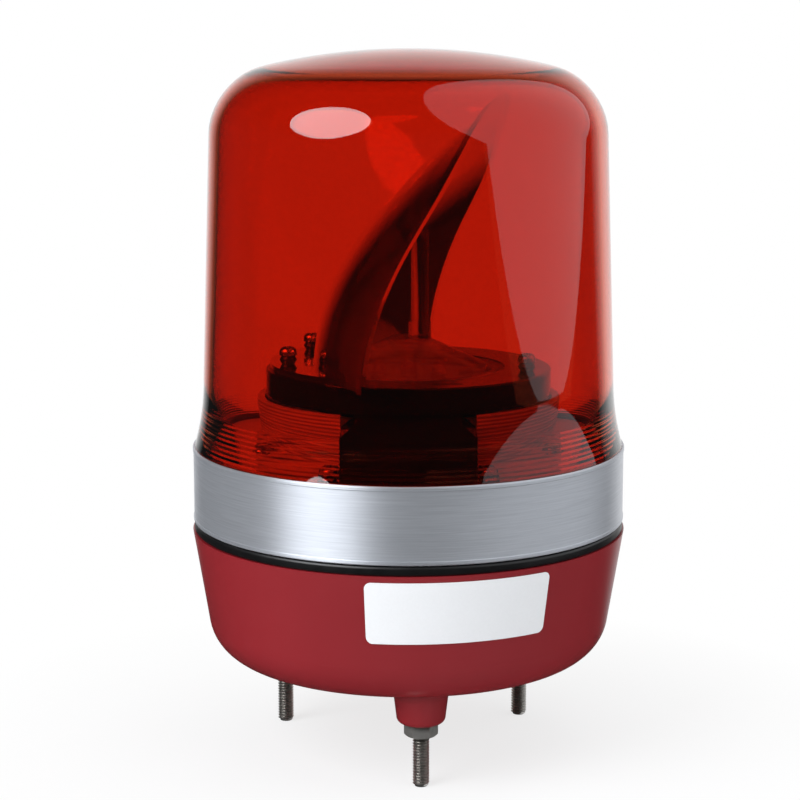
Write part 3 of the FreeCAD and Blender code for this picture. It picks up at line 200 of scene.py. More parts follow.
def clear_red_polycarbonate():
    """Polycarbonate, injection moulded and polished: deep clear red with sharp reflections."""
    material, tree = new_finish("clear red polycarbonate")
    colour = bpy.context.scene.beacon_colours.dome
    place = add_node(tree, "ShaderNodeTexCoord")
    # flow waviness of the moulding, some 18 mm across, only just bends a reflection
    waves = add_node(tree, "ShaderNodeTexNoise", {"Vector": place.outputs["Object"], "Scale": 1 / (18 * MM),
                                                  "Detail": 1.0})
    bump = add_node(tree, "ShaderNodeBump", {"Height": waves.outputs["Fac"], "Strength": 0.02,
                                             "Distance": 1 * MM})
    plastic = add_node(tree, "ShaderNodeBsdfPrincipled", {
        "Base Color": tuple(colour) + (1,), "Roughness": 0.02, "IOR": 1.5, "Transmission Weight": 1.0,
        "Normal": bump.outputs["Normal"]})
    # light that passes one surface keeps the root of the colour, as the refracted light does
    tint = add_node(tree, "ShaderNodeBsdfTransparent", {
        "Color": tuple(part ** 0.5 for part in colour) + (1,)})
    path = add_node(tree, "ShaderNodeLightPath")
    mix = add_node(tree, "ShaderNodeMixShader", {0: path.outputs["Is Shadow Ray"], 1: plastic.outputs[0],
                                                 2: tint.outputs[0]})
    finish_surface(tree, mix)
    return material


def red_abs():
    """ABS, injection moulded with a fine polish: opaque red with soft, slightly broken highlights."""
    material, tree = new_finish("red ABS")
    colour = bpy.context.scene.beacon_colours.housing
    place = add_node(tree, "ShaderNodeTexCoord")
    # pigment drift in the melt, some 25 mm across
    drift = add_node(tree, "ShaderNodeTexNoise", {"Vector": place.outputs["Object"], "Scale": 1 / (25 * MM),
                                                  "Detail": 2.0})
    shade = add_node(tree, "ShaderNodeMix", {0: drift.outputs["Fac"],
                                             6: tuple(part * 0.9 for part in colour) + (1,),
                                             7: tuple(min(1, part * 1.08) for part in colour) + (1,)},
                     data_type="RGBA")
    # polished tool steel leaves a 0.5 mm orange peel
    peel = add_node(tree, "ShaderNodeTexNoise", {"Vector": place.outputs["Object"], "Scale": 1 / (0.5 * MM),
                                                 "Detail": 2.0})
    gloss = add_node(tree, "ShaderNodeMapRange", {"Value": drift.outputs["Fac"], "To Min": 0.27,
                                                  "To Max": 0.36})
    bump = add_node(tree, "ShaderNodeBump", {"Height": peel.outputs["Fac"], "Strength": 0.05,
                                             "Distance": 0.1 * MM})
    plastic = add_node(tree, "ShaderNodeBsdfPrincipled", {
        "Base Color": shade.outputs[2], "Roughness": gloss.outputs[0], "IOR": 1.53,
        "Normal": bump.outputs["Normal"]})
    finish_surface(tree, plastic)
    return material


def brushed_aluminium():
    """Aluminium strip, brushed round the band: fine lines and a stretched, milky highlight."""
    material, tree = new_finish("brushed aluminium")
    place = add_node(tree, "ShaderNodeTexCoord")
    stretch = add_node(tree, "ShaderNodeMapping", {"Vector": place.outputs["Object"], "Scale": (1, 1, 45)})
    # belt grit leaves lines some 0.3 mm apart that run one or two centimetres
    lines = add_node(tree, "ShaderNodeTexNoise", {"Vector": stretch.outputs[0], "Scale": 1 / (14 * MM),
                                                  "Detail": 6.0, "Roughness": 0.65})
    tone = add_node(tree, "ShaderNodeMix", {0: lines.outputs["Fac"], 6: linear("#B9BDC4", 1),
                                            7: linear("#E9ECF2", 1)}, data_type="RGBA")
    gloss = add_node(tree, "ShaderNodeMapRange", {"Value": lines.outputs["Fac"], "To Min": 0.44,
                                                  "To Max": 0.58})
    bump = add_node(tree, "ShaderNodeBump", {"Height": lines.outputs["Fac"], "Strength": 0.12,
                                             "Distance": 0.05 * MM})
    along = add_node(tree, "ShaderNodeTangent", direction_type="RADIAL", axis="Z")
    # the part that isn't metallic is chosen for the milky shine
    metal = add_node(tree, "ShaderNodeBsdfPrincipled", {
        "Base Color": tone.outputs[2], "Metallic": 0.74, "Roughness": gloss.outputs[0], "Anisotropic": 0.92,
        "Anisotropic Rotation": 0.25, "Tangent": along.outputs[0], "Normal": bump.outputs["Normal"]})
    finish_surface(tree, metal)
    return material


def nitrile_rubber():
    """Nitrile rubber, pressed: near black with a satin sheen."""
    material, tree = new_finish("nitrile rubber")
    place = add_node(tree, "ShaderNodeTexCoord")
    # bloom and dust in patches of some 3 mm
    bloom = add_node(tree, "ShaderNodeTexNoise", {"Vector": place.outputs["Object"], "Scale": 1 / (3 * MM),
                                                  "Detail": 3.0})
    tone = add_node(tree, "ShaderNodeMix", {0: bloom.outputs["Fac"], 6: linear("#070708", 1),
                                            7: linear("#121213", 1)}, data_type="RGBA")
    gloss = add_node(tree, "ShaderNodeMapRange", {"Value": bloom.outputs["Fac"], "To Min": 0.3,
                                                  "To Max": 0.45})
    rubber = add_node(tree, "ShaderNodeBsdfPrincipled", {"Base Color": tone.outputs[2], "IOR": 1.52,
                                                         "Roughness": gloss.outputs[0]})
    finish_surface(tree, rubber)
    return material


def plated_steel(name, dark, light, rough_low, rough_high):
    """Steel, machined and plated: grey metal with faint patches of duller plating."""
    material, tree = new_finish(name)
    place = add_node(tree, "ShaderNodeTexCoord")
    # plating grain, some 1.2 mm across
    patches = add_node(tree, "ShaderNodeTexNoise", {"Vector": place.outputs["Object"],
                                                    "Scale": 1 / (1.2 * MM), "Detail": 4.0})
    tone = add_node(tree, "ShaderNodeMix", {0: patches.outputs["Fac"], 6: linear(dark, 1),
                                            7: linear(light, 1)}, data_type="RGBA")
    gloss = add_node(tree, "ShaderNodeMapRange", {"Value": patches.outputs["Fac"], "To Min": rough_low,
                                                  "To Max": rough_high})
    metal = add_node(tree, "ShaderNodeBsdfPrincipled", {"Base Color": tone.outputs[2], "Metallic": 1.0,
                                                        "Roughness": gloss.outputs[0]})
    finish_surface(tree, metal)
    return material


def moulded_plastic(name, dark, light, rough_low, rough_high, grain_mm, ior=1.5):
    """Thermoplastic, injection moulded: even colour with a fine grain that breaks the shine."""
    material, tree = new_finish(name)
    place = add_node(tree, "ShaderNodeTexCoord")
    grain = add_node(tree, "ShaderNodeTexNoise", {"Vector": place.outputs["Object"],
                                                  "Scale": 1 / (grain_mm * MM), "Detail": 3.0})
    drift = add_node(tree, "ShaderNodeTexNoise", {"Vector": place.outputs["Object"], "Scale": 1 / (15 * MM),
                                                  "Detail": 2.0})
    tone = add_node(tree, "ShaderNodeMix", {0: drift.outputs["Fac"], 6: linear(dark, 1),
                                            7: linear(light, 1)}, data_type="RGBA")
    gloss = add_node(tree, "ShaderNodeMapRange", {"Value": grain.outputs["Fac"], "To Min": rough_low,
                                                  "To Max": rough_high})
    bump = add_node(tree, "ShaderNodeBump", {"Height": grain.outputs["Fac"], "Strength": 0.04,
                                             "Distance": 0.1 * MM})
    plastic = add_node(tree, "ShaderNodeBsdfPrincipled", {
        "Base Color": tone.outputs[2], "Roughness": gloss.outputs[0], "IOR": ior,
        "Normal": bump.outputs["Normal"]})
    finish_surface(tree, plastic)
    return material


def ribbed_abs():
    """ABS, injection moulded in a finely turned tool: grey with fine rings one above the other, with painted
    shade in the grooves and painted light on the crests.
    """
    material, tree = new_finish("ribbed grey ABS")
    place = add_node(tree, "ShaderNodeTexCoord")
    # the tool's rings, 1.1 mm apart
    rings = add_node(tree, "ShaderNodeTexWave", {"Vector": place.outputs["Object"],
                                                 "Scale": 1 / (1.1 * MM) / 20 * math.tau},
                     bands_direction="Z")
    # the rings' tone is darker in each groove and lighter on each crest: painted shade and painted light over
    # the real bump
    tone = add_node(tree, "ShaderNodeMix", {0: rings.outputs["Fac"], 6: linear("#6F6B65", 1),
                                            7: linear("#A8A49B", 1)}, data_type="RGBA")
    bump = add_node(tree, "ShaderNodeBump", {"Height": rings.outputs["Fac"], "Strength": 0.6,
                                             "Distance": 0.15 * MM})
    plastic = add_node(tree, "ShaderNodeBsdfPrincipled", {"Base Color": tone.outputs[2], "Roughness": 0.35,
                                                          "Normal": bump.outputs["Normal"]})
    finish_surface(tree, plastic)
    return material


def label_film():
    """Polyester label film, die cut: matt white with a faint fleck."""
    material, tree = new_finish("polyester label film")
    colour = bpy.context.scene.beacon_colours.label
    place = add_node(tree, "ShaderNodeTexCoord")
    # top coat fleck, some 0.6 mm
    fleck = add_node(tree, "ShaderNodeTexNoise", {"Vector": place.outputs["Object"], "Scale": 1 / (0.6 * MM),
                                                  "Detail": 2.0})
    tone = add_node(tree, "ShaderNodeMix", {0: fleck.outputs["Fac"],
                                            6: tuple(part * 0.95 for part in colour) + (1,),
                                            7: tuple(colour) + (1,)}, data_type="RGBA")
    film = add_node(tree, "ShaderNodeBsdfPrincipled", {"Base Color": tone.outputs[2], "Roughness": 0.42,
                                                       "IOR": 1.5})
    finish_surface(tree, film)
    return material


def metallised_abs():
    """ABS, vacuum metallised: a bright mirror with the slight waviness of the moulding under it."""
    material, tree = new_finish("metallised ABS")
    place = add_node(tree, "ShaderNodeTexCoord")
    # sink waviness, some 9 mm across
    waves = add_node(tree, "ShaderNodeTexNoise", {"Vector": place.outputs["Object"], "Scale": 1 / (9 * MM),
                                                  "Detail": 2.0})
    gloss = add_node(tree, "ShaderNodeMapRange", {"Value": waves.outputs["Fac"], "To Min": 0.05,
                                                  "To Max": 0.12})
    bump = add_node(tree, "ShaderNodeBump", {"Height": waves.outputs["Fac"], "Strength": 0.05,
                                             "Distance": 1 * MM})
    mirror = add_node(tree, "ShaderNodeBsdfPrincipled", {
        "Base Color": linear("#E9E9EC", 1), "Metallic": 1.0, "Roughness": gloss.outputs[0],
        "Normal": bump.outputs["Normal"]})
    finish_surface(tree, mirror)
    return material


def clear_acrylic():
    """Acrylic, injection moulded and polished: water clear with bright edges."""
    material, tree = new_finish("clear acrylic")
    place = add_node(tree, "ShaderNodeTexCoord")
    # flow waviness, some 6 mm across
    waves = add_node(tree, "ShaderNodeTexNoise", {"Vector": place.outputs["Object"], "Scale": 1 / (6 * MM),
                                                  "Detail": 1.0})
    bump = add_node(tree, "ShaderNodeBump", {"Height": waves.outputs["Fac"], "Strength": 0.04,
                                             "Distance": 1 * MM})
    plastic = add_node(tree, "ShaderNodeBsdfPrincipled", {
        "Base Color": linear("#F4F6F6", 1), "Roughness": 0.03, "IOR": 1.49, "Transmission Weight": 1.0,
        "Normal": bump.outputs["Normal"]})
    passing = add_node(tree, "ShaderNodeBsdfTransparent", {"Color": linear("#F4F6F6", 1)})
    path = add_node(tree, "ShaderNodeLightPath")
    # half of the light goes through unbent, which is chosen so that the inside can be read;
    # a shadow ray passes whole
    unbent = add_node(tree, "ShaderNodeMath", {0: path.outputs["Is Shadow Ray"], 1: 0.5}, operation="MAXIMUM")
    mix = add_node(tree, "ShaderNodeMixShader", {0: unbent.outputs[0], 1: plastic.outputs[0],
                                                 2: passing.outputs[0]})
    finish_surface(tree, mix)
    return material


def circuit_board(name, mask, track):
    """Glass fibre board under solder mask: copper tracks show as lighter lines."""
    material, tree = new_finish(name)
    place = add_node(tree, "ShaderNodeTexCoord")
    # tracks on a 2.54 mm grid, drawn 0.5 mm wide
    tracks = add_node(tree, "ShaderNodeTexBrick", {
        "Vector": place.outputs["Object"], "Color1": linear(mask, 1), "Color2": linear(mask, 1),
        "Mortar": linear(track, 1), "Scale": 1.0, "Mortar Size": 0.25 * MM, "Brick Width": 7.62 * MM,
        "Row Height": 2.54 * MM})
    bump = add_node(tree, "ShaderNodeBump", {"Height": tracks.outputs["Fac"], "Strength": 0.2,
                                             "Distance": 0.03 * MM})
    board = add_node(tree, "ShaderNodeBsdfPrincipled", {"Base Color": tracks.outputs["Color"],
                                                        "Roughness": 0.3, "Normal": bump.outputs["Normal"]})
    finish_surface(tree, board)
    return material


def wound_copper():
    """Enamelled copper wire, wound in layers: warm metal in fine rings, with painted shade between the turns
    and painted light on them.
    """
    material, tree = new_finish("enamelled copper wire")
    place = add_node(tree, "ShaderNodeTexCoord")
    # single turns of 0.4 mm wire are too fine to show, so a ring some 2.5 mm wide stands for several
    turns = add_node(tree, "ShaderNodeTexWave", {"Vector": place.outputs["Object"],
                                                 "Scale": 1 / (0.4 * MM) / 20}, bands_direction="Z")
    # each ring's tone is darker where the bump sinks and lighter where it rises: painted shade between the
    # turns and painted light on them
    tone = add_node(tree, "ShaderNodeMix", {0: turns.outputs["Fac"], 6: linear("#6E3414", 1),
                                            7: linear("#C7743A", 1)}, data_type="RGBA")
    bump = add_node(tree, "ShaderNodeBump", {"Height": turns.outputs["Fac"], "Strength": 0.4,
                                             "Distance": 0.1 * MM})
    wire = add_node(tree, "ShaderNodeBsdfPrincipled", {"Base Color": tone.outputs[2], "Metallic": 1.0,
                                                       "Roughness": 0.32, "Normal": bump.outputs["Normal"]})
    finish_surface(tree, wire)
    return material


def phosphor_silicone():
    """Silicone over phosphor: yellow under a clear, glossy skin."""
    material, tree = new_finish("phosphor under silicone")
    place = add_node(tree, "ShaderNodeTexCoord")
    # phosphor settles in clouds of some 0.8 mm
    cloud = add_node(tree, "ShaderNodeTexNoise", {"Vector": place.outputs["Object"], "Scale": 1 / (0.8 * MM)})
    tone = add_node(tree, "ShaderNodeMix", {0: cloud.outputs["Fac"], 6: linear("#D9B23A", 1),
                                            7: linear("#F2DC7A", 1)}, data_type="RGBA")
    lens = add_node(tree, "ShaderNodeBsdfPrincipled", {"Base Color": tone.outputs[2], "Roughness": 0.35,
                                                       "Coat Weight": 1.0, "Coat Roughness": 0.05})
    finish_surface(tree, lens)
    return material


class BEACON_OT_finishes(bpy.types.Operator):
    """Give every piece of the frame the finish of its real material"""

    bl_idname = "beacon.finishes"
    bl_label = "Finishes"

    def execute(self, context):
        # the nodes that a finer piece stands for are hidden and need no finish
        finishes = (
            (red_abs(), "base_housing"),
            (nitrile_rubber(), "cable_grommet", "fixing_grommets"),
            (plated_steel("stainless nut steel", "#CFCCC6", "#ECE9E3", 0.5, 0.62), "fixing_nuts"),
            (plated_steel("zinc plated steel", "#9A9894", "#CBC8C2", 0.24, 0.4), "motor_screws", "idler_clip",
             "idler_pin", "motor_shaft", "led_board_screws", "driver_board_screws", "balance_weight",
             "retaining_ring"),
            (plated_steel("nickel plated steel sheet", "#8C8C8E", "#B4B4B6", 0.3, 0.42), "motor_can"),
            (ribbed_abs(), "chassis"),
            (moulded_plastic("black ABS", "#0E0E0F", "#161617", 0.22, 0.34, 0.6), "motor_end_cap"),
            (moulded_plastic("polished black ABS", "#0A0A0B", "#111112", 0.07, 0.14, 1.5), "motor_cover",
             "turntable"),
            (moulded_plastic("natural acetal", "#D8D4C6", "#E8E5DB", 0.38, 0.5, 0.8, 1.48), "ring_gear",
             "idler_gear", "motor_pinion", "thrust_washer"),
            (metallised_abs(), "reflector"),
            (clear_acrylic(), "condenser_lens"),
            (plated_steel("extruded aluminium", "#A3A5A8", "#C4C6C9", 0.32, 0.5), "led_heatsink"),
            (circuit_board("white solder mask board", "#D8D9D6", "#C2C3C0"), "led_board"),
            (circuit_board("green solder mask board", "#0B3D1E", "#1A6B35"), "driver_board"),
            (phosphor_silicone(), "led_emitters"),
            (moulded_plastic("green polyamide", "#135A2B", "#1C6E38", 0.3, 0.42, 0.5), "terminal_block"),
            (moulded_plastic("capacitor sleeve", "#10131C", "#181C28", 0.2, 0.3, 2.0), "capacitors"),
            (wound_copper(), "inductor"),
        )
        for material, *names in finishes:
            for name in names:
                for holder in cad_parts[name].material_slots:
                    holder.material = material
        return {"FINISHED"}


# ---- pieces ----

class BEACON_OT_dome(bpy.types.Operator):
    """Build the clear dome with its flared foot, the rings inside it and the skirt inside the band"""

    bl_idname = "beacon.dome"
    bl_label = "Dome"

    def crown(self, top, bend, edge, reach):
        """Points of the domed top from its middle to its edge; the edge's rounding takes the last stretch."""
        steps = 14
        spots = [edge * step / steps for step in range(steps)]
        spots = [spot for spot in spots if spot <= edge - reach] + [edge]
        return [(spot, top - bend + math.sqrt(bend * bend - spot * spot)) for spot in spots]

    def execute(self, context):
        sizes = context.scene.beacon_sizes
        lens_low, lens_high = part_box("globe_lens")
        top, wall = lens_high.z, sizes.dome_wall
        band_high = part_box("trim_band")[1]
        band_radius, band_top = band_high.x, band_high.z
        # the flare ends just inside the band's rim, and the wall leans in on its way up
        rim_inset, spread, lean = 0.5 * MM, 2.4 * MM, 2.5 * MM
        foot = band_radius - rim_inset - spread
        corner = foot - lean
        # the skirt goes down inside the band
        skirt_inset, skirt_wall = 1.6 * MM, 1.9 * MM
        skirt_outer = band_radius - skirt_inset
        skirt_inner = skirt_outer - skirt_wall
        # the roundings of the crown's edge take up a little more of it than their own width
        crown_bend = 152 * MM
        outer_round, inner_round, spare = 12.2 * MM, 10.2 * MM, 0.2 * MM
        outside = self.crown(top, crown_bend, corner, outer_round + spare)
        inside = self.crown(top - wall, crown_bend - wall, corner - wall, inner_round + spare)

        # the flare is one arc that leaves the wall upright
        bend = (sizes.flare_height ** 2 + spread ** 2) / spread / 2

        def flare(height):
            """How far the flare stands out from the wall at a height above the band."""
            return bend - math.sqrt(bend * bend - (sizes.flare_height - height) ** 2)

        profile = outside[:]
        flare_steps = 8
        for step in range(flare_steps + 1):
            height = sizes.flare_height * (1 - step / flare_steps)
            profile.append((foot + flare(height), band_top + height))
        profile += [(skirt_outer, band_top), (skirt_outer, lens_low.z), (skirt_inner, lens_low.z)]
        # the rings follow a straight line from the skirt to the inner side of the flare
        rings = int(sizes.prism_height / sizes.prism_pitch)
        rise = rings * sizes.prism_pitch
        ring_end = foot - wall + flare(rise)
        ring_peak = 0.4
        for step in range(rings):
            radius = skirt_inner - (skirt_inner - ring_end) * step / rings
            height = band_top + step * sizes.prism_pitch
            profile.append((radius, height))
            profile.append((radius - sizes.prism_depth, height + sizes.prism_pitch * ring_peak))
        profile += [(ring_end, band_top + rise), (foot - wall, band_top + sizes.flare_height)]
        rounds = {len(outside) - 1: outer_round, len(profile): inner_round}
        profile += reversed(inside)
        mesh = bmesh.new()
        outline(mesh, profile, rounds, closed=False)
        turn_round(mesh, sizes.turn_steps)
        place_piece("clear_dome", mesh, "globe", clear_red_polycarbonate(), ["globe_lens"], 24)
        return {"FINISHED"}


class BEACON_OT_band(bpy.types.Operator):
    """Build the clamp band with its rolled edges"""

    bl_idname = "beacon.band"
    bl_label = "Clamp band"

    def execute(self, context):
        low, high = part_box("trim_band")
        # the flat face lies a little below the two rolled rims, past a short slope
        wall, rim, slope, recess, rim_round = 1.4 * MM, 0.9 * MM, 0.2 * MM, 0.15 * MM, 0.4 * MM
        radius, inner, face = high.x, high.x - wall, high.x - recess
        points = [(inner, low.z), (radius, low.z), (radius, low.z + rim), (face, low.z + rim + slope),
                  (face, high.z - rim - slope), (radius, high.z - rim), (radius, high.z), (inner, high.z)]
        mesh = bmesh.new()
        outline(mesh, points, {1: rim_round, 6: rim_round}, closed=True)
        turn_round(mesh, context.scene.beacon_sizes.turn_steps)
        place_piece("clamp_band", mesh, "globe", brushed_aluminium(), ["trim_band"], 20)
        return {"FINISHED"}


class BEACON_OT_fixings(bpy.types.Operator):
    """Build the three M4 fixing screws with their threads and hexagon heads"""

    bl_idname = "beacon.fixings"
    bl_label = "Fixing screws"

    def rod(self, foot, seat, crest, pitch):
        """A threaded rod about the Z axis, cut flat at its foot and its seat, with a tapered tip."""
        thread_depth, crest_start, crest_end = 0.6134, 0.44, 0.56
        root = crest - thread_depth * pitch
        steps = 20
        turns = math.ceil((seat - foot) / pitch) + 2
        start = foot - pitch
        mesh = bmesh.new()
        tooth = [(root, start), (crest, start + pitch * crest_start), (crest, start + pitch * crest_end),
                 (root, start + pitch)]
        outline(mesh, tooth, {}, closed=False)
        bmesh.ops.spin(mesh, geom=mesh.verts[:] + mesh.edges[:], cent=(0, 0, 0), axis=(0, 0, 1),
                       dvec=(0, 0, pitch / steps), angle=math.tau * turns, steps=steps * turns,
                       use_merge=False, use_normal_flip=False, use_duplicate=False)
        bmesh.ops.remove_doubles(mesh, verts=mesh.verts[:], dist=1e-6)
        for height, upper in ((foot, False), (seat, True)):
            bmesh.ops.bisect_plane(mesh, geom=mesh.verts[:] + mesh.edges[:] + mesh.faces[:], dist=1e-7,
                                   plane_co=(0, 0, height), plane_no=(0, 0, 1), clear_inner=not upper,
                                   clear_outer=upper)
        rim = [edge for edge in mesh.edges if edge.is_boundary]
        bmesh.ops.holes_fill(mesh, edges=rim, sides=0)
        tip = root * 0.9
        for vertex in mesh.verts:
            limit = tip + (vertex.co.z - foot)
            reach = math.hypot(vertex.co.x, vertex.co.y)
            if reach > limit:
                vertex.co.x *= limit / reach
                vertex.co.y *= limit / reach
        bmesh.ops.recalc_face_normals(mesh, faces=mesh.faces[:])
        return mesh

    def head(self, across, height):
        """A hexagon head of a given width across its flats, with softened edges."""
        mesh = bmesh.new()
        radius = across / 2 / math.cos(math.pi / 6)
        bmesh.ops.create_cone(mesh, cap_ends=True, segments=6, radius1=radius, radius2=radius, depth=height)
        bmesh.ops.bevel(mesh, geom=mesh.edges[:], offset=0.25 * MM, affect="EDGES", segments=2, profile=0.5,
                        material=-1)
        return mesh

    def execute(self, context):
        low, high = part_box("fixing_studs")
        crest, across, head_height = 2.0 * MM, 7.0 * MM, 2.8 * MM
        seat = high.z - head_height
        # the fixings share a circle, and the first stands a little right of the front
        circle, fixings, first = 35 * MM, 3, -85.15
        every = bmesh.new()
        for count in range(fixings):
            angle = math.radians(first + 360 / fixings * count)
            x, y = circle * math.cos(angle), circle * math.sin(angle)
            append_mesh(every, self.rod(low.z, seat, crest, context.scene.beacon_sizes.thread_pitch), x, y)
            append_mesh(every, self.head(across, head_height), x, y, seat + head_height / 2)
        steel = plated_steel("stainless steel", "#B2AEA8", "#D8D4CE", 0.3, 0.42)
        place_piece("fixing_screw_threads", every, "base", steel, ["fixing_studs"], 35)
        return {"FINISHED"}


class BEACON_OT_seal(bpy.types.Operator):
    """Build the rubber seal with its rounded lip"""

    bl_idname = "beacon.seal"
    bl_label = "Seal"

    def execute(self, context):
        low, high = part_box("base_seal")
        width, low_round, high_round = 6 * MM, 0.5 * MM, 0.9 * MM
        inner = high.x - width
        mesh = bmesh.new()
        outline(mesh, [(inner, low.z), (high.x, low.z), (high.x, high.z), (inner, high.z)],
                {1: low_round, 2: high_round}, closed=True)
        turn_round(mesh, context.scene.beacon_sizes.turn_steps)
        place_piece("seal_lip", mesh, "base", nitrile_rubber(), ["base_seal"], 40)
        return {"FINISHED"}


class BEACON_OT_label(bpy.types.Operator):
    """Cut the bare label flat with rounded corners and wrap it round the leaning side"""

    bl_idname = "beacon.label"
    bl_label = "Label"

    def execute(self, context):
        low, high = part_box("rating_label")
        radii = [vertex.co.xy.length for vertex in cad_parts["rating_label"].data.vertices]
        foot, top = min(radii), max(radii)
        thickness = context.scene.beacon_sizes.label_thickness
        start, end = math.asin(low.x / top), math.asin(high.x / top)
        width, height = (end - start) * top, high.z - low.z
        corner = 1.6 * MM
        corners = [(0, 0), (width, 0), (width, height), (0, height)]
        mesh = bmesh.new()
        outline(mesh, corners, {place: corner for place in range(len(corners))}, closed=True)
        bmesh.ops.edgenet_fill(mesh, edges=mesh.edges[:])
        strips = 48
        for strip in range(1, strips):
            bmesh.ops.bisect_plane(mesh, geom=mesh.verts[:] + mesh.edges[:] + mesh.faces[:], dist=1e-7,
                                   plane_co=(width * strip / strips, 0, 0), plane_no=(1, 0, 0))
        raised = bmesh.ops.extrude_face_region(mesh, geom=mesh.faces[:])["geom"]
        raised = [item for item in raised if isinstance(item, bmesh.types.BMVert)]
        bmesh.ops.translate(mesh, verts=raised, vec=(0, thickness, 0))
        for vertex in mesh.verts:
            angle = start + vertex.co.x / top - math.pi / 2
            radius = foot + (top - thickness - foot) * vertex.co.z / height + vertex.co.y
            vertex.co = (radius * math.cos(angle), radius * math.sin(angle), low.z + vertex.co.z)
        bmesh.ops.recalc_face_normals(mesh, faces=mesh.faces[:])
        place_piece("bare_label", mesh, "base", label_film(), ["rating_label"], 40)
        return {"FINISHED"}


class BEACON_OT_screws(bpy.types.Operator):
    """Build the small pan head screws with their cross recesses"""

    bl_idname = "beacon.screws"
    bl_label = "Small screws"

    def places(self, node):
        """Middle, foot and top of each separate screw of a CAD node."""
        mesh = bmesh.new()
        mesh.from_mesh(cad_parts[node].data)
        bmesh.ops.remove_doubles(mesh, verts=mesh.verts[:], dist=1e-6)
        left, found = set(mesh.verts), []
        while left:
            group, waiting = set(), [left.pop()]
            while waiting:
                vertex = waiting.pop()
                group.add(vertex)
                for link in vertex.link_edges:
                    other = link.other_vert(vertex)
                    if other in left:
                        left.remove(other)
                        waiting.append(other)
            spans = [(min(v.co[axis] for v in group), max(v.co[axis] for v in group)) for axis in range(3)]
            found.append(((spans[0][0] + spans[0][1]) / 2, (spans[1][0] + spans[1][1]) / 2, *spans[2]))
        mesh.free()
        return sorted(found)

    def screw(self, shank, head, height, foot, top):
        """A plain shank with a chamfered tip under a domed head; shank and head are radii."""
        mesh = bmesh.new()
        seat, chamfer, dome = top - height, shank * 0.4, height * 0.62
        outline(mesh, [(0, top), (head, top), (head, seat), (shank, seat), (shank, foot + chamfer),
                       (shank - chamfer, foot), (0, foot)], {1: dome}, closed=False)
        turn_round(mesh, 40)
        return mesh

    def recess(self, head, top, turn):
        """Two crossed wings, narrower below, that cut the recess; head is a radius."""
        length, thickness, lift, taper = head * 1.1, head * 0.26, head * 0.1, 0.5
        mesh = bmesh.new()
        for side in range(2):
            wing = bmesh.new()
            bmesh.ops.create_cube(wing, size=1)
            bmesh.ops.scale(wing, verts=wing.verts[:], vec=(length, thickness, length))
            for vertex in wing.verts:
                if vertex.co.z < 0:
                    vertex.co.x *= taper
            bmesh.ops.rotate(wing, verts=wing.verts[:], cent=(0, 0, 0),
                             matrix=Matrix.Rotation(turn + side * math.pi / 2, 3, "Z"))
            append_mesh(mesh, wing, z=top + lift)
        return mesh

    def execute(self, context):
        steel = plated_steel("zinc plated screw steel", "#9A9894", "#D4D1CB", 0.2, 0.34)
        # node, body, then the shank's radius, the head's radius and its height in millimetres
        rows = (("fixing_screws", "rotor", 1.0, 2.1, 2.0), ("chassis_screws", "base", 1.5, 2.75, 1.9),
                ("motor_cover_screws", "base", 1.0, 2.1, 1.5))
        # each recess has its own turn, in radians, as driven screws do
        first_turn, next_turn = 0.5, 1.3
        for node, body, *screw_sizes in rows:
            shank, head, height = (size * MM for size in screw_sizes)
            every, cuts = bmesh.new(), bmesh.new()
            for count, (x, y, foot, top) in enumerate(self.places(node)):
                append_mesh(every, self.screw(shank, head, height, foot, top), x, y)
                append_mesh(cuts, self.recess(head, top, first_turn + next_turn * count), x, y)
            name = node.replace("_screws", "_pan_heads")
            piece = place_piece(name, every, body, steel, [node], 35)
            carrier = bpy.data.meshes.new("recesses")
            cuts.to_mesh(carrier)
            cuts.free()
            cutter = bpy.data.objects.new("recesses", carrier)
            bpy.context.collection.objects.link(cutter)
            boolean = piece.modifiers.new("recesses", "BOOLEAN")
            boolean.operation, boolean.object, boolean.use_self = "DIFFERENCE", cutter, True
            bpy.context.view_layer.update()
            cut = bpy.data.meshes.new_from_object(piece.evaluated_get(bpy.context.evaluated_depsgraph_get()))
            piece.modifiers.clear()
            piece.data = cut
            bpy.data.objects.remove(cutter)
        return {"FINISHED"}


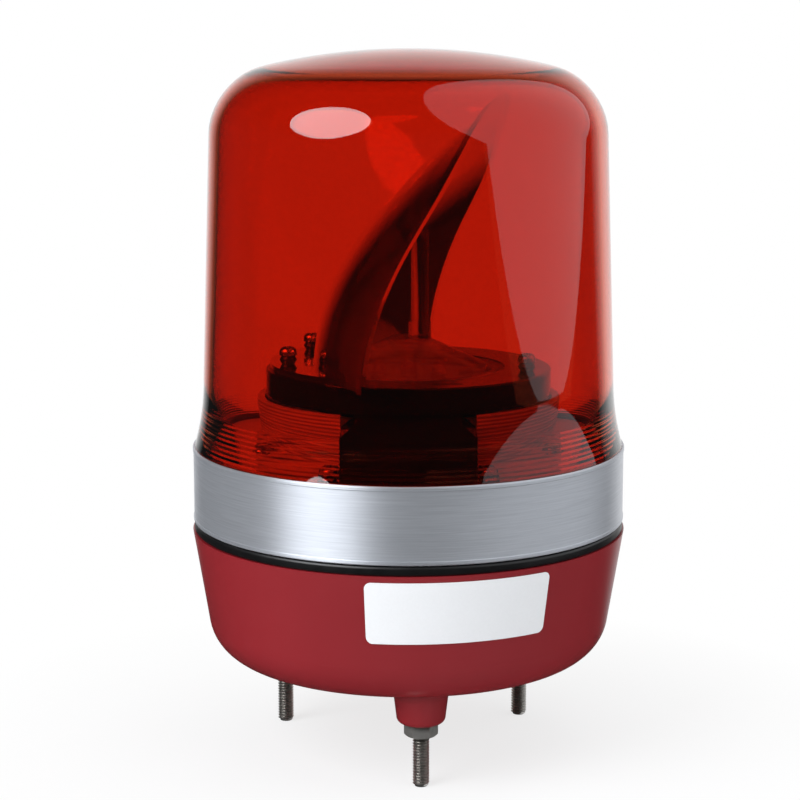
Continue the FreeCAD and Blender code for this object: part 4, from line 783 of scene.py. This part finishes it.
class BEACON_OT_stage(bpy.types.Operator):
    """Set up the pale floor, the soft lights, the background and the camera"""

    bl_idname = "beacon.stage"
    bl_label = "Stage"

    def softbox(self, name, place, aim, width, radiance):
        """A round soft lamp of a given width and brightness; its power follows from its area."""
        lamp = bpy.data.lights.new(name, "AREA")
        lamp.shape = "ELLIPSE"
        lamp.size, lamp.size_y = width, width
        area = width * width * math.pi / 4
        lamp.energy = radiance * area * math.pi
        lamp.color = (0.94, 0.965, 1.0)
        holder = bpy.data.objects.new(name, lamp)
        holder.location = place
        holder.rotation_euler = (Vector(aim) - Vector(place)).to_track_quat("-Z", "Y").to_euler()
        bpy.context.collection.objects.link(holder)

    def sheet(self, tree, way):
        """How bright the room is along a way that a reflection takes: white at the sheet, else dark."""
        behind = add_node(tree, "ShaderNodeVectorMath", {0: way, 1: SHEET_WAY}, operation="DOT_PRODUCT")
        return add_node(tree, "ShaderNodeMapRange", {
            "Value": behind.outputs["Value"], "From Min": SHEET_EDGE[0], "From Max": SHEET_EDGE[1],
            "To Min": ROOM_LIGHT, "To Max": 1.0})

    def rays(self, tree):
        """Light Path, a value for rays straight through clear plastic and one for glossy and clear rays."""
        path = add_node(tree, "ShaderNodeLightPath")
        straight = add_node(tree, "ShaderNodeMath", {0: path.outputs["Glossy Depth"], 1: 0.5},
                            operation="LESS_THAN")
        through = add_node(tree, "ShaderNodeMath", {0: path.outputs["Is Transmission Ray"],
                                                    1: straight.outputs[0]}, operation="MULTIPLY")
        mirrored = add_node(tree, "ShaderNodeMath", {0: path.outputs["Is Glossy Ray"],
                                                     1: path.outputs["Is Transmission Ray"]},
                            operation="MAXIMUM")
        return path, through, mirrored

    def floor(self, height):
        """A wide disc that is plain white to the eye, takes the object's shadow and reflects as the room."""
        mesh = bmesh.new()
        bmesh.ops.create_circle(mesh, cap_ends=True, radius=6.0, segments=96)
        bmesh.ops.translate(mesh, verts=mesh.verts[:], vec=(0, 0, height))
        data = bpy.data.meshes.new("studio_floor")
        mesh.to_mesh(data)
        mesh.free()
        material, tree = new_finish("pale studio floor")
        place = add_node(tree, "ShaderNodeTexCoord")
        # paint grain, some 25 mm across
        grain = add_node(tree, "ShaderNodeTexNoise", {"Vector": place.outputs["Object"],
                                                      "Scale": 1 / (25 * MM)})
        tone = add_node(tree, "ShaderNodeMix", {0: grain.outputs["Fac"], 6: linear("#E9E9E9", 1),
                                                7: linear("#F1F1F1", 1)}, data_type="RGBA")
        paint = add_node(tree, "ShaderNodeBsdfDiffuse", {"Color": tone.outputs[2]})
        # the shadow shows near the object and fades to plain white 13 cm from its axis
        reach = add_node(tree, "ShaderNodeVectorMath", {0: place.outputs["Object"]}, operation="LENGTH")
        near = add_node(tree, "ShaderNodeMapRange", {"Value": reach.outputs["Value"], "From Min": 0.04,
                                                     "From Max": 0.13, "To Min": 0.25, "To Max": 0.0})
        white = add_node(tree, "ShaderNodeEmission", {"Strength": 1.0})
        seen = add_node(tree, "ShaderNodeMixShader", {0: near.outputs[0], 1: white.outputs[0],
                                                      2: paint.outputs[0]})
        away = add_node(tree, "ShaderNodeVectorMath", {0: place.outputs["Object"]}, operation="NORMALIZE")
        sheet = self.sheet(tree, away.outputs[0])
        far = add_node(tree, "ShaderNodeEmission", {"Strength": sheet.outputs[0]})
        # a ray that came straight through the dome finds white; one that a surface reflected finds the room
        path, through, mirrored = self.rays(tree)
        reflected = add_node(tree, "ShaderNodeMixShader", {0: mirrored.outputs[0], 1: paint.outputs[0],
                                                           2: far.outputs[0]})
        clear = add_node(tree, "ShaderNodeMixShader", {0: through.outputs[0], 1: reflected.outputs[0],
                                                       2: white.outputs[0]})
        both = add_node(tree, "ShaderNodeMixShader", {0: path.outputs["Is Camera Ray"],
                                                      1: clear.outputs[0], 2: seen.outputs[0]})
        finish_surface(tree, both)
        data.materials.append(material)
        floor = bpy.data.objects.new("studio_floor", data)
        bpy.context.collection.objects.link(floor)

    def background(self):
        """Plain white to the eye, a dark room with a white sheet to reflections, and dim to matt surfaces."""
        world = bpy.data.worlds.new("studio")
        world.use_nodes = True
        tree = world.node_tree
        tree.nodes.clear()
        place = add_node(tree, "ShaderNodeTexCoord")
        parts = add_node(tree, "ShaderNodeSeparateXYZ", {"Vector": place.outputs["Generated"]})
        # the sheet darkens towards its top
        rise = add_node(tree, "ShaderNodeMapRange", {"Value": parts.outputs["Z"], "From Min": 0.1,
                                                     "From Max": 0.5, "To Min": 1.0, "To Max": 0.4})
        sheet = self.sheet(tree, place.outputs["Generated"])
        room = add_node(tree, "ShaderNodeMath", {0: sheet.outputs[0], 1: rise.outputs[0]},
                        operation="MULTIPLY")
        path, through, mirrored = self.rays(tree)
        seen = add_node(tree, "ShaderNodeMath", {0: path.outputs["Is Camera Ray"], 1: through.outputs[0]},
                        operation="MAXIMUM")
        soft = add_node(tree, "ShaderNodeMix", {0: mirrored.outputs[0], 2: 0.3, 3: room.outputs[0]})
        level = add_node(tree, "ShaderNodeMix", {0: seen.outputs[0], 2: soft.outputs[0], 3: 1.0})
        light = add_node(tree, "ShaderNodeBackground", {"Color": (1, 1, 1, 1), "Strength": level.outputs[0]})
        add_node(tree, "ShaderNodeOutputWorld", {"Surface": light.outputs[0]})
        bpy.context.scene.world = world

    def execute(self, context):
        self.floor(CAD_BOX[0].z)
        self.background()
        middle = (0, 0, 0.1)
        self.softbox("right lamp", (0.395, -0.055, 0.401), middle, 1.07, 0.95)
        self.softbox("left lamp", (-0.642, -0.539, 0.645), middle, 0.8, 7.5)
        lens = bpy.data.cameras.new("camera")
        lens.lens = 102.3
        lens.sensor_width = 36
        lens.shift_x = -0.0106
        lens.clip_start = 0.01
        camera = bpy.data.objects.new("camera", lens)
        camera.location = (0, -0.5502, 0.1698)
        downward = math.radians(10.18)
        camera.rotation_euler = (math.radians(90) - downward, 0, 0)
        bpy.context.collection.objects.link(camera)
        context.scene.camera = camera
        context.scene.view_settings.view_transform = "Standard"
        return {"FINISHED"}


class BEACON_PT_panel(bpy.types.Panel):
    """Lists the operators and the values that they read"""

    bl_idname = "BEACON_PT_panel"
    bl_label = "Rotating beacon"
    bl_space_type = "VIEW_3D"
    bl_region_type = "UI"
    bl_category = "Beacon"

    def draw(self, context):
        for group in (context.scene.beacon_sizes, context.scene.beacon_colours):
            for name in group.__annotations__:
                self.layout.prop(group, name)
        for operator in OPERATORS:
            self.layout.operator(operator.bl_idname)


OPERATORS = (BEACON_OT_finishes, BEACON_OT_dome, BEACON_OT_band, BEACON_OT_seal, BEACON_OT_label,
             BEACON_OT_fixings, BEACON_OT_screws, BEACON_OT_stage)
CLASSES = (BeaconSizes, BeaconColours) + OPERATORS + (BEACON_PT_panel,)


def register():
    for item in CLASSES:
        bpy.utils.register_class(item)
    bpy.types.Scene.beacon_sizes = PointerProperty(type=BeaconSizes)
    bpy.types.Scene.beacon_colours = PointerProperty(type=BeaconColours)


def unregister():
    del bpy.types.Scene.beacon_colours
    del bpy.types.Scene.beacon_sizes
    for item in reversed(CLASSES):
        bpy.utils.unregister_class(item)


def main():
    register()
    bpy.ops.beacon.finishes()
    bpy.ops.beacon.dome()
    bpy.ops.beacon.band()
    bpy.ops.beacon.seal()
    bpy.ops.beacon.label()
    bpy.ops.beacon.fixings()
    bpy.ops.beacon.screws()
    bpy.ops.beacon.stage()


if __name__ == "__main__":
    main()
